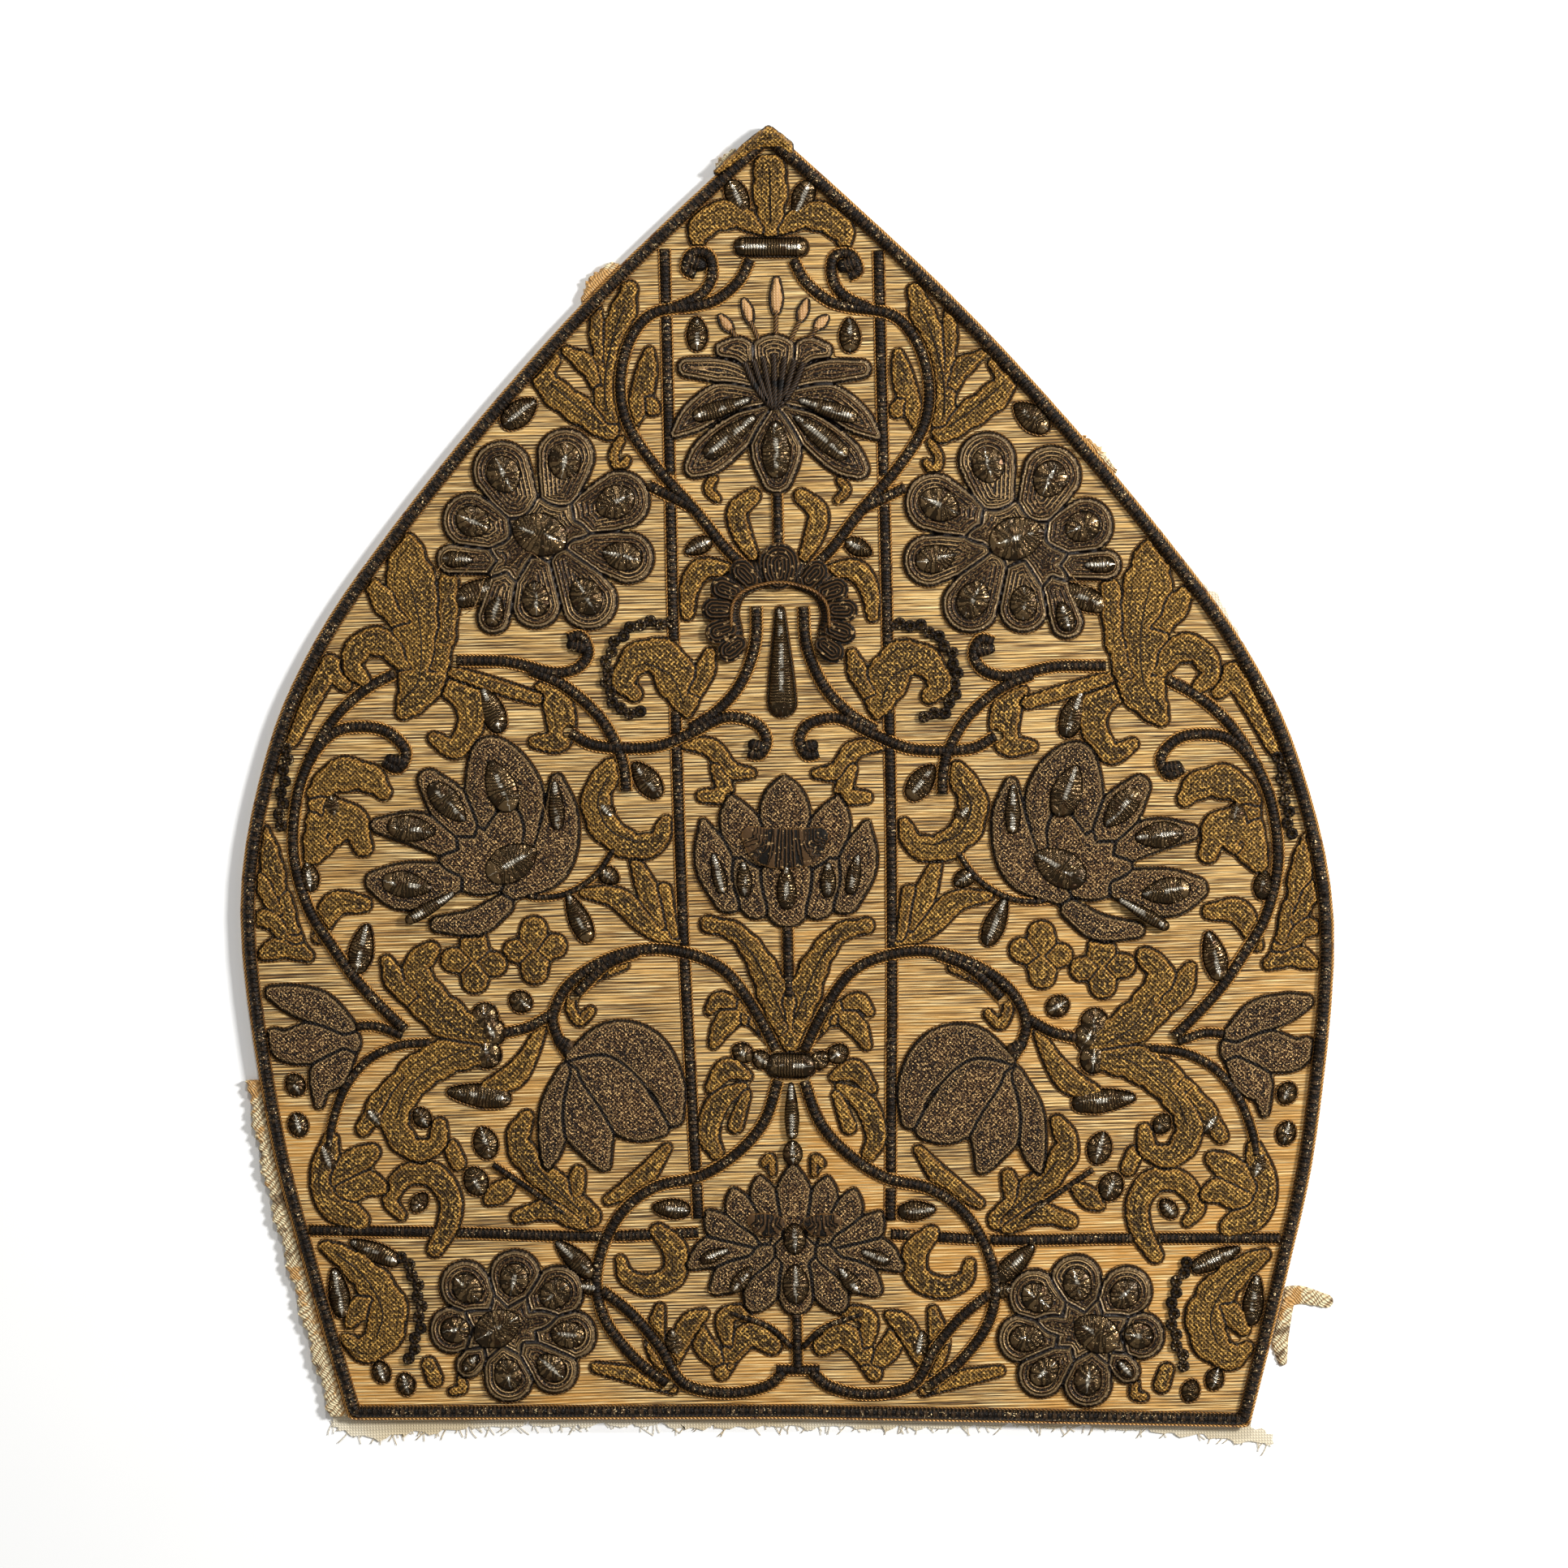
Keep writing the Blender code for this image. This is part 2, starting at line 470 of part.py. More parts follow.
def build_bars(sheet, looks):
    """Low bars under the scrolls, and the wider solids that notch what crosses them."""
    whole = (slice(None), slice(None))
    cutters = []
    for side, turn in (("left", tuple), ("right", mirrored)):
        across = sheet.distance([stroke(rows, BAR_WIDTH) for rows in turn((BASE_BAR,))], whole)
        upright = sheet.distance([stroke(rows, BAR_WIDTH) for rows in turn((BAR,))], whole)
        upright = np.maximum(upright, CLEARANCE - across)
        for name, field in (("base_bar_", across), ("bar_", upright)):
            clipped = np.maximum(field, CLEARANCE - sheet.laid)
            top = WORK_BOTTOM + BAR_RISE
            plate(name + side, clipped, sheet.xs, sheet.ys, WORK_BOTTOM, top, looks["cord"])
            cutter = plate("cut_" + name + side, field - CLEARANCE, sheet.xs, sheet.ys,
                           WORK_BOTTOM - BAR_RISE, WORK_BOTTOM + BAR_RISE + CLEARANCE, None)
            cutter.hide_render = True
            cutter.display_type = "WIRE"
            cutters.append((field - CLEARANCE, cutter))
    return cutters


def build_motif(sheet, cutters, name, strokes, rise, look):
    """One raised piece, kept clear of all pieces that are laid before it."""
    part = sheet.window(strokes)
    field = -soft_min(-sheet.distance(strokes, part), sheet.laid[part] - CLEARANCE)
    xs, ys = sheet.xs[part[0]], sheet.ys[part[1]]
    item = plate(name, field, xs, ys, WORK_BOTTOM, WORK_BOTTOM + rise, look)
    for bar, cutter in cutters:
        if np.any((bar[part] < 0) & (field < 0)):
            notch = item.modifiers.new("over the bar", "BOOLEAN")
            notch.object = cutter
    sheet.lay(field, part)


def build_middle(sheet, cutters, motifs, rise, look):
    """Pieces that straddle the middle line."""
    for name, rows in motifs:
        width = STEM_WIDTH / 2 if name == "lotus_stem" else None
        strokes = [stroke(row, width) for row in rows]
        build_motif(sheet, cutters, name, strokes, rise, look)


def build_pairs(sheet, cutters, motifs, rise, look):
    """Pieces that come on the left and, mirrored, on the right."""
    for name, rows in motifs:
        width = STEM_WIDTH if name.endswith("_stem") else None
        for side, turn in (("left", tuple), ("right", mirrored)):
            strokes = [stroke(row, width) for row in turn(rows)]
            build_motif(sheet, cutters, name + "_" + side, strokes, rise, look)


def main():
    clear_scene()
    looks = {"silk": material("worn silk ground", SILK), "cream": material("cream lining", CREAM),
             "cord": material("dark couched cord", DARK_CORD), "gilt": material("gilt thread", GILT),
             "silver": material("tarnished silver thread", TARNISH), "braid": material("gold braid", BRAID)}
    edge = side_outline()
    sheet = Sheet(edge)
    build_layers(sheet, outline_distance(sheet, edge), looks)
    middle_flowers = (
        ("lily", LILY + mirrored(LILY)), ("middle_lotus", MIDDLE_LOTUS + mirrored(MIDDLE_LOTUS)),
        ("lower_lotus", LOWER_LOTUS + mirrored(LOWER_LOTUS)),
        ("shell_collar", SHELL_COLLAR + mirrored(SHELL_COLLAR)),
    )
    side_flowers = (
        ("upper_rosette", UPPER_ROSETTE), ("peony", PEONY), ("tulip", TULIP),
        ("bell_flower", BELL_FLOWER), ("lower_rosette", LOWER_ROSETTE),
    )
    build_middle(sheet, (), middle_flowers, FLOWER_RISE, looks["silver"])
    build_pairs(sheet, (), side_flowers, FLOWER_RISE, looks["silver"])
    cutters = build_bars(sheet, looks)
    ties = (
        ("crest_tie", CREST_TIE), ("knot", KNOT), ("lotus_stem", LOTUS_STEM), ("centre_drop", CENTRE_DROP),
    )
    stems = (
        ("top_stem", TOP_STEM), ("collar_stem", COLLAR_STEM), ("circle_stem", CIRCLE_STEM),
        ("outer_stem", OUTER_STEM), ("arch_stem", ARCH_STEM), ("lower_stem", LOWER_STEM),
    )
    leaves = (
        ("top_leaf", TOP_LEAF), ("chain_leaf", CHAIN_LEAF), ("loop_leaf", LOOP_LEAF),
        ("tongue_leaf", TONGUE_LEAF), ("side_leaf", SIDE_LEAF), ("corner_leaf", CORNER_LEAF),
        ("tulip_leaf", TULIP_LEAF),
    )
    large_leaves = (("acanthus", ACANTHUS), ("trumpet_leaf", TRUMPET_LEAF))
    build_pairs(sheet, cutters, large_leaves, LEAF_RISE, looks["gilt"])
    build_middle(sheet, cutters, ties, STEM_RISE, looks["cord"])
    build_pairs(sheet, cutters, stems, STEM_RISE, looks["cord"])
    middle_leaves = (("crest", CREST + mirrored(CREST)), ("vase_leaf", VASE_LEAF + mirrored(VASE_LEAF)))
    build_middle(sheet, cutters, middle_leaves, LEAF_RISE, looks["gilt"])
    build_pairs(sheet, cutters, leaves, LEAF_RISE, looks["gilt"])


main()
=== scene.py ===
"""Embroidered mitre panel: the worked surface over its plain solids.

The panel lies flat with its embroidery up: +Z is out of the embroidered face, +Y is
the tip and +X is the right side as seen from above. All lengths are metres.
"""

import math

import bmesh
import bpy
import numpy as np
from bpy.props import FloatProperty, FloatVectorProperty, PointerProperty
from mathutils import Matrix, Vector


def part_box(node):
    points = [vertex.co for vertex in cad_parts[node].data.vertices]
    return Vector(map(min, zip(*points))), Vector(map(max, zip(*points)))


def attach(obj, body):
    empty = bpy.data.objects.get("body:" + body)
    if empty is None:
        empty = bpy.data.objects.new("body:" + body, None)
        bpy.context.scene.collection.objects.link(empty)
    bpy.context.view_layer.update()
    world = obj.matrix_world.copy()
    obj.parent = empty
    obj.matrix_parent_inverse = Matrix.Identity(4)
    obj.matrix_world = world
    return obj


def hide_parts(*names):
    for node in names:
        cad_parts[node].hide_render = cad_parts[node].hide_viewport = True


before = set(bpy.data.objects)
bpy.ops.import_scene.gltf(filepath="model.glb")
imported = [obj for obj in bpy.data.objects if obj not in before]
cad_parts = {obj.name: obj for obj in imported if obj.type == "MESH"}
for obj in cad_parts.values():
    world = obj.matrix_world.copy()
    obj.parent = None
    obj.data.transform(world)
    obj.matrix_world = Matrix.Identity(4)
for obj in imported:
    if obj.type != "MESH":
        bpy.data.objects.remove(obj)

bl_info = {
    "name": "Embroidered mitre panel",
    "version": (1, 0, 0),
    "blender": (4, 5, 0),
    "location": "3D View > Sidebar > Mitre",
    "description": "Embroidery, braid, lining and stage of one flat mitre panel",
    "category": "Object",
}

# Sizes of the panel, as its solids have them
PANEL_HEIGHT = 0.400
PANEL_WIDTH = 0.340
BASE_WIDTH = 0.276
BORDER_WIDTH = 0.0038
BRAID_WIDTH = 0.0042
BAR_WIDTH = 0.0034
STEM_WIDTH = 0.0034
LINING_SHOW = 0.0007
CLEARANCE = 0.0003
FALL = 0.064
FINEST = 0.0003
GRID_STEP = 0.0006
PAD_STEP = 0.0005
ROUTE_STEPS = 5
TABLE_BASE = 0.812
WIDEST_UP = 40.0

# Levels, read from the solids
LINING_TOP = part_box("lining")[1][2]
GROUND_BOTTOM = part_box("ground_panel")[0][2]
GROUND_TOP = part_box("ground_panel")[1][2]
LEAF_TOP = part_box("top_leaf_left")[1][2]
STEM_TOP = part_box("arch_stem_left")[1][2]
FLOWER_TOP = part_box("peony_left")[1][2]
BORDER_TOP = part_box("border_cord")[1][2]
BAR_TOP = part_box("bar_left")[1][2]
BRAID_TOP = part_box("galloon_left")[1][2]
SINK = 0.0003

# Left edge from the tip to the lower corner: percent across of half the width, percent up
SIDE = ((0, 100), (-6, 98), (-30, 88.8), (-50, 80), (-70, 70), (-85, 61.2),
        (-94.6, 52.3), (-100, 40), (-96, 23.6), (-90, 12.5), (-82.4, 0.45))
BASE_MIDDLE = (0, -0.3)

# Scroll stems and bars: across, up
BAR = ((-19.6, 91), (-19.4, 45), (-17.6, 15.4))
BASE_BAR = ((-89, 15.2), (-60, 14.7), (-38, 14.2), (-17.6, 14.3))
TOP_STEM = (
    ((-4, 90.0), (-6, 88.4), (-10, 87), (-14, 86.5), (-22, 86.0), (-26.5, 83.8), (-28.3, 80.5),
     (-27, 77.3), (-22, 74), (-15, 70.5), (-10, 67.7), (-6.5, 66.2)),
    ((-18, 86.4), (-13, 87.4), (-11, 88.8), (-11.5, 90.4), (-14.5, 90.6), (-15.8, 89.4), (-14, 88.9)),
    ((-23.5, 72.6), (-19, 71.6), (-15.5, 70.8)),
)
COLLAR_STEM = (((-4.3, 63), (-4.7, 60), (-7.5, 57), (-12, 54.9), (-17, 53.6)),)
CIRCLE_STEM = (
    ((-59.5, 59.3), (-50, 59.1), (-42, 58.2), (-37.4, 58.5), (-35.3, 59.7), (-36.6, 61), (-39, 60.8)),
    ((-46, 58.4), (-40, 57.2), (-34, 54.9), (-30.5, 52.4), (-29.2, 50.5), (-29, 48.8)),
    ((-39, 53.5), (-34, 52.4), (-24, 52.2), (-17, 53.2), (-10.5, 54.4), (-5, 53.9), (-3, 52.6),
     (-4.3, 51.4), (-6.5, 51.6)),
)
OUTER_STEM = (
    ((-71, 58.4), (-76.4, 57.2), (-82, 55.1), (-86.4, 52.2), (-89.3, 49.0), (-90.2, 44.6),
     (-87.8, 40.4), (-83.7, 37.4), (-79.2, 34.6), (-74.6, 32.4), (-70.4, 30.6)),
    ((-87, 51.8), (-83.4, 53.6), (-79.2, 54.3), (-73, 54), (-69.2, 52.4), (-70.6, 51), (-73.4, 51.6)),
)
ARCH_STEM = (
    ((-2.6, 28.4), (-6, 31.3), (-11, 34.4), (-17, 35.9), (-25, 36.5), (-33, 35.8), (-40, 34.0),
     (-43.3, 31.6), (-42.6, 29.8), (-40.5, 28.3)),
    ((-43.5, 31.6), (-48, 30.6), (-52.5, 30.2)),
    ((-27.5, 36.3), (-33.5, 35.3), (-39, 33.1)),
)
LOWER_STEM = (
    ((-2.4, 26), (-5, 22.9), (-10, 20.5), (-17, 18.7), (-25, 18), (-31, 16.3), (-35, 13.6),
     (-36.6, 10.6), (-35, 7.6), (-30, 4.7), (-24, 2.6)),
    ((-35.5, 10), (-30, 8), (-25, 5.4), (-21, 2.6), (-13, 1.75), (-6, 2.2), (-2.6, 3.3)),
)
LOTUS_STEM = (((0, 38.4), (0, 32.5)),)

# Leaves and flowers: across, up, width of the stroke
CREST = (
    ((0, 92.2, 3.5), (0, 94, 5.5), (0, 96.4, 6.2), (0, 98.0, 3.5)),
    ((-2, 92.4, 2.6), (-6, 93.4, 4.4), (-10, 93.4, 5.4), (-13.2, 92.4, 4.2), (-13.4, 91.5, 2.6)),
)
LILY = (
    ((0, 78.6, 5), (0, 80.4, 8), (0, 82.0, 10)),
    ((-2, 80.2, 3), (-9, 81.3, 4.6), (-16, 81.7, 3.5)),
    ((-2, 79.1, 4), (-9, 79.3, 6), (-14.5, 77.9, 5.6), (-18.4, 76.6, 2)),
    ((-1, 78.3, 4), (-7, 76.6, 6.6), (-12, 74.9, 7), (-15, 73.9, 4)),
    ((0, 78, 6), (0, 75.4, 9.6), (0, 73, 6)),
    ((-3, 81.5, 3), (-6, 83, 4.5), (-9.3, 83, 3)),
)
TOP_LEAF = (
    ((-30.6, 77.8, 4), (-31.2, 80.6, 4.4), (-29.8, 83.8, 5), (-27.4, 86.2, 4.6), (-26.2, 87.9, 3)),
    ((-31, 81.5, 3.4), (-32, 84.5, 3.4), (-32.6, 86.6, 2)),
    ((-31, 80, 3.4), (-34, 82, 3.8), (-38, 83.2, 2)),
    ((-30.6, 77, 4), (-35, 78.3, 5), (-40, 79.9, 5), (-42.4, 81.3, 4), (-40.3, 82.6, 2.6)),
)
UPPER_ROSETTE = (
    ((-38, 69.6, 9), (-44, 69.2, 12), (-49.5, 67, 9)),
    ((-40, 72, 7), (-38.6, 74.9, 10.6)), ((-47, 71, 7), (-50.3, 74, 10.8)),
    ((-50, 69, 7), (-56.4, 70.2, 10)), ((-37, 70, 7), (-28.8, 71.5, 10.8)),
    ((-37, 68, 6), (-27.6, 67, 9.4)), ((-39, 67, 6), (-35, 63.7, 10.4)),
    ((-45, 67, 6), (-44.6, 63.6, 9)), ((-50, 66, 5), (-52.5, 62.6, 6)),
    ((-51, 67, 5), (-60, 67.2, 5.4)),
)
ACANTHUS = (
    ((-69.4, 55.4, 3), (-66.2, 57.6, 8), (-65.6, 61, 10), (-67.2, 65, 9), (-68.6, 68.2, 6)),
    ((-66, 57.6, 4), (-71, 60.4, 5), (-76, 60.9, 5), (-78.8, 59.2, 3.8), (-76.4, 57.9, 2.6)),
    ((-67, 62, 6), (-72, 64, 5), (-74.4, 65.2, 3)),
    ((-64.4, 58.6, 6), (-62, 62, 5.6), (-60.6, 65.4, 3.6)),
)
CHAIN_LEAF = (
    ((-17.4, 54.8, 2), (-18.6, 57, 7.4), (-22, 59.2, 6.6), (-26.4, 59.1, 5.4), (-29, 57.4, 4.2),
     (-27, 56.4, 3)),
    ((-18, 56, 4), (-14.6, 57.6, 4), (-13, 59.4, 2.4)),
)
SHELL_COLLAR = (
    ((-9.4, 60.9, 4.6), (-10.2, 62.8, 5), (-7.8, 64.8, 5), (0, 65.9, 4.6)),
)
CENTRE_DROP = (((0, 62.6, 1.4), (0, 60, 2.8), (0, 57.6, 4.2), (0, 55.4, 5)),)
LOOP_LEAF = (
    ((-31.6, 50.6, 4), (-34.4, 48.6, 5.2), (-33.6, 46.4, 5.4), (-28.6, 44.6, 5), (-23.6, 44.8, 4),
     (-21.8, 46.4, 2.4)),
)
PEONY = (
    ((-50.4, 45.6, 10), (-55, 44, 14), (-59, 43.6, 9)),
    ((-48, 45.2, 5), (-46.4, 48.6, 5), (-50, 51.3, 5.4), (-54.4, 52.2, 5), (-55.6, 49, 6),
     (-55, 46, 5)),
    ((-50, 41.6, 5), (-43.6, 43.4, 8.4), (-41.2, 46.8, 7), (-41.6, 49.8, 2.6)),
    ((-56, 45, 5), (-60.6, 47.6, 8), (-65, 50, 4.4)),
    ((-60, 44.6, 5), (-67, 46.2, 6.4), (-74.4, 46.6, 3)),
    ((-60, 42.4, 5), (-69, 41.8, 9), (-75, 42.2, 4.4)),
    ((-52, 40.2, 4), (-57, 38.9, 5), (-64, 38.8, 3)),
)
TONGUE_LEAF = (
    ((-86, 49.2, 3), (-81.5, 50.6, 6), (-76, 50.3, 5), (-73.4, 49.2, 3)),
    ((-86.6, 44.4, 3.6), (-83.6, 46.8, 8), (-79.6, 47, 6), (-77.4, 45, 3.4)),
    ((-85.4, 48.4, 4), (-83.6, 46, 5)),
)
SIDE_LEAF = (
    ((-92.8, 40.2, 3), (-94.2, 43.6, 4.4), (-95.6, 46.4, 2.4)),
    ((-92.4, 40, 4), (-95, 42, 4.6), (-96.4, 42.6, 2.6)),
    ((-90.6, 37.8, 4), (-93.6, 39.4, 4.4), (-96.6, 39.6, 2.6)),
    ((-88, 36.6, 2.4), (-92, 37.4, 4.4), (-96, 36.8, 2.6)),
    ((-92.6, 41, 4), (-91.2, 38.4, 4)),
)
MIDDLE_LOTUS = (
    ((0, 45.2, 10), (0, 47.4, 8.6), (0, 49.5, 1.4)), ((-6.2, 44.4, 9), (-8.6, 46.2, 7), (-9.8, 48.1, 1.4)),
    ((-10.6, 40.4, 6), (-13, 43.2, 7.6), (-15, 46.3, 1.4)), ((-11, 41.2, 5), (-14.6, 42.6, 3)),
    ((0, 43.2, 4), (0, 41.2, 11), (0, 39.6, 8)), ((-5.6, 39.9, 6), (-7.8, 41.6, 7.6), (-8, 43.6, 3)),
)
VASE_LEAF = (
    ((-0.5, 30.2, 5), (-2.4, 32.4, 6), (-5.4, 35.4, 4.6), (-9.4, 37.6, 3.4), (-14.4, 38.3, 3)),
    ((0, 31.8, 7), (0, 30, 5.6), (0, 28.9, 3)),
)
KNOT = (((-2.4, 27.2, 4.4), (2.4, 27.2, 4.4)),)
TULIP = (
    ((-39.8, 28.2, 3), (-33, 29.4, 7), (-27, 28.4, 9), (-22.6, 25.8, 6.4), (-21.8, 23.4, 4)),
    ((-38.6, 27.6, 5), (-34.4, 26, 12), (-29, 23.6, 9.4), (-24.8, 22.8, 5)),
    ((-39.4, 27, 5), (-38, 24, 11), (-36, 21.2, 6), (-34.6, 19.8, 2.6)),
    ((-40.8, 27, 4), (-43.2, 24.2, 6), (-44.2, 21.4, 4.6), (-45, 19.8, 1.6)),
)
TRUMPET_LEAF = (
    ((-57.4, 29.8, 6), (-62, 31.2, 7), (-66.4, 33, 7), (-68.4, 35.4, 5), (-65.4, 36.8, 3.6)),
    ((-67, 33, 5), (-71.4, 34.2, 4.6), (-73.6, 36, 2.6)),
    ((-57.8, 29, 6), (-63.6, 28.4, 6.6), (-70, 26.6, 6.6), (-73, 23.8, 5.4), (-70, 21.4, 4.4),
     (-65.4, 21.6, 3.6), (-64.6, 23.2, 3)),
    ((-71, 26.8, 4), (-75.4, 25, 4), (-78.6, 23, 2.6)),
)
BELL_FLOWER = (
    ((-81.8, 30.8, 5), (-86, 32.4, 6.4), (-90.8, 33.2, 5.4), (-94.8, 33.8, 2.6)),
    ((-81.6, 29.8, 6), (-87, 29.8, 8), (-92, 29.6, 6), (-94.6, 30.4, 3)),
    ((-82, 29, 5), (-84.4, 27.6, 7), (-86.2, 26.6, 4), (-86.6, 25, 1.8)),
)
CORNER_LEAF = (
    ((-86, 13.9, 2.4), (-81.6, 12.7, 4.6), (-77.4, 10.9, 6.4), (-75, 8.6, 7.4), (-76.2, 6.6, 6),
     (-79.6, 5.8, 4.4), (-82.4, 6.6, 2.4)),
    ((-78, 9.8, 4), (-80.4, 8.8, 4), (-81.8, 8, 2.6)),
)
TULIP_LEAF = (
    ((-38.4, 15.8, 4), (-42.6, 17.8, 5), (-47.6, 19.8, 5), (-50.4, 21.8, 4.4), (-48.6, 23.6, 3)),
    ((-37.4, 15.8, 4), (-40.2, 17.2, 3.6), (-39.4, 19.2, 3)),
    ((-39, 15.4, 3.4), (-44.6, 16.4, 4), (-50.6, 15.9, 2.6)),
)
LOWER_LOTUS = (
    ((0, 14.4, 8), (0, 17, 7), (0, 19.3, 1.4)), ((-3.2, 14.4, 6), (-5.4, 16.8, 5.6), (-6.2, 18.4, 1.4)),
    ((-6, 14.2, 6), (-9.8, 16, 5.6), (-11, 17.5, 1.4)), ((-8.4, 13.6, 6), (-13.4, 14.6, 5.6), (-15.6, 15.8, 1.6)),
    ((-9, 12.8, 6), (-15, 12.8, 6), (-19, 11.8, 2)), ((-6, 12.4, 6), (-11, 11.2, 6.8), (-14.4, 10, 3)),
    ((-3, 11.6, 5), (-6, 10, 6.8), (-7.6, 8.8, 4)), ((0, 13.2, 8), (0, 11, 9), (0, 9, 6)),
)
LOWER_ROSETTE = (
    ((-48, 7.8, 10), (-54, 7.4, 14), (-58, 7.4, 9)),
    ((-53, 8.6, 7), (-51.4, 11.3, 9.4)), ((-56, 8.6, 7), (-60.6, 10.6, 9.2)),
    ((-49, 8.4, 7), (-43.6, 10, 9.4)), ((-49, 7, 6), (-41.2, 6.6, 8.8)),
    ((-50, 6, 6), (-44.6, 3.9, 8.6)), ((-54, 6, 7), (-53, 3.4, 9)),
    ((-57, 6, 5), (-60.4, 4.4, 4.6)), ((-58, 7.4, 6), (-63, 7.2, 8.6)),
)
KNOB = (((-8, 97.5, 2.4), (-4, 98.7, 3), (0, 99.2, 4.6), (3, 98.9, 2.6)),)
BOUND_TIP = (((-9.6, 96.9, 1.4), (-7, 97.9, 2.6), (-4, 98.9, 3.6), (-0.6, 99.5, 4.2), (2.4, 99.3, 3.6),
              (3.6, 98.6, 2)),)
CREST_TIE = (((-5, 91.0, 3.4), (5, 91.0, 3.4)),)
TORN_END = (((88.8, 10.4, 4), (92.4, 10.8, 3.4), (97.4, 10.4, 2.4)),
            ((89.4, 10.2, 4), (88.6, 7.6, 3.4), (89, 5.6, 1.8)))
EDGE_SCRAPS = (
    ((-34.6, 86.9, 1.2), (-32.6, 88.1, 3.4), (-29.8, 89.3, 3), (-28.2, 89.8, 1)),
    ((-9.4, 96.9, 1), (-8.4, 97.6, 2.2), (-6.4, 98.4, 1.4)),
    ((56.4, 77, 1), (58.8, 75.9, 2.6), (61.4, 74.6, 1.6)),
)
LINING_HEM = ((-86, 0.5, 2.4), (-80, -0.45, 3.2), (-72, -0.35, 2.6), (-50, 0.1, 2.4), (-20, -0.3, 2.6),
              (0, -0.55, 2.4), (20, -0.2, 3), (40, 0.25, 2.6), (60, 0.4, 3), (76, 0.2, 4),
              (84, -0.3, 2.6), (87, -0.8, 1.2))
LINING_SIDE = ((70, 69.2, 1), (76, 66.1, 3), (82, 62.6, 3.4), (84.8, 60.4, 1.6))

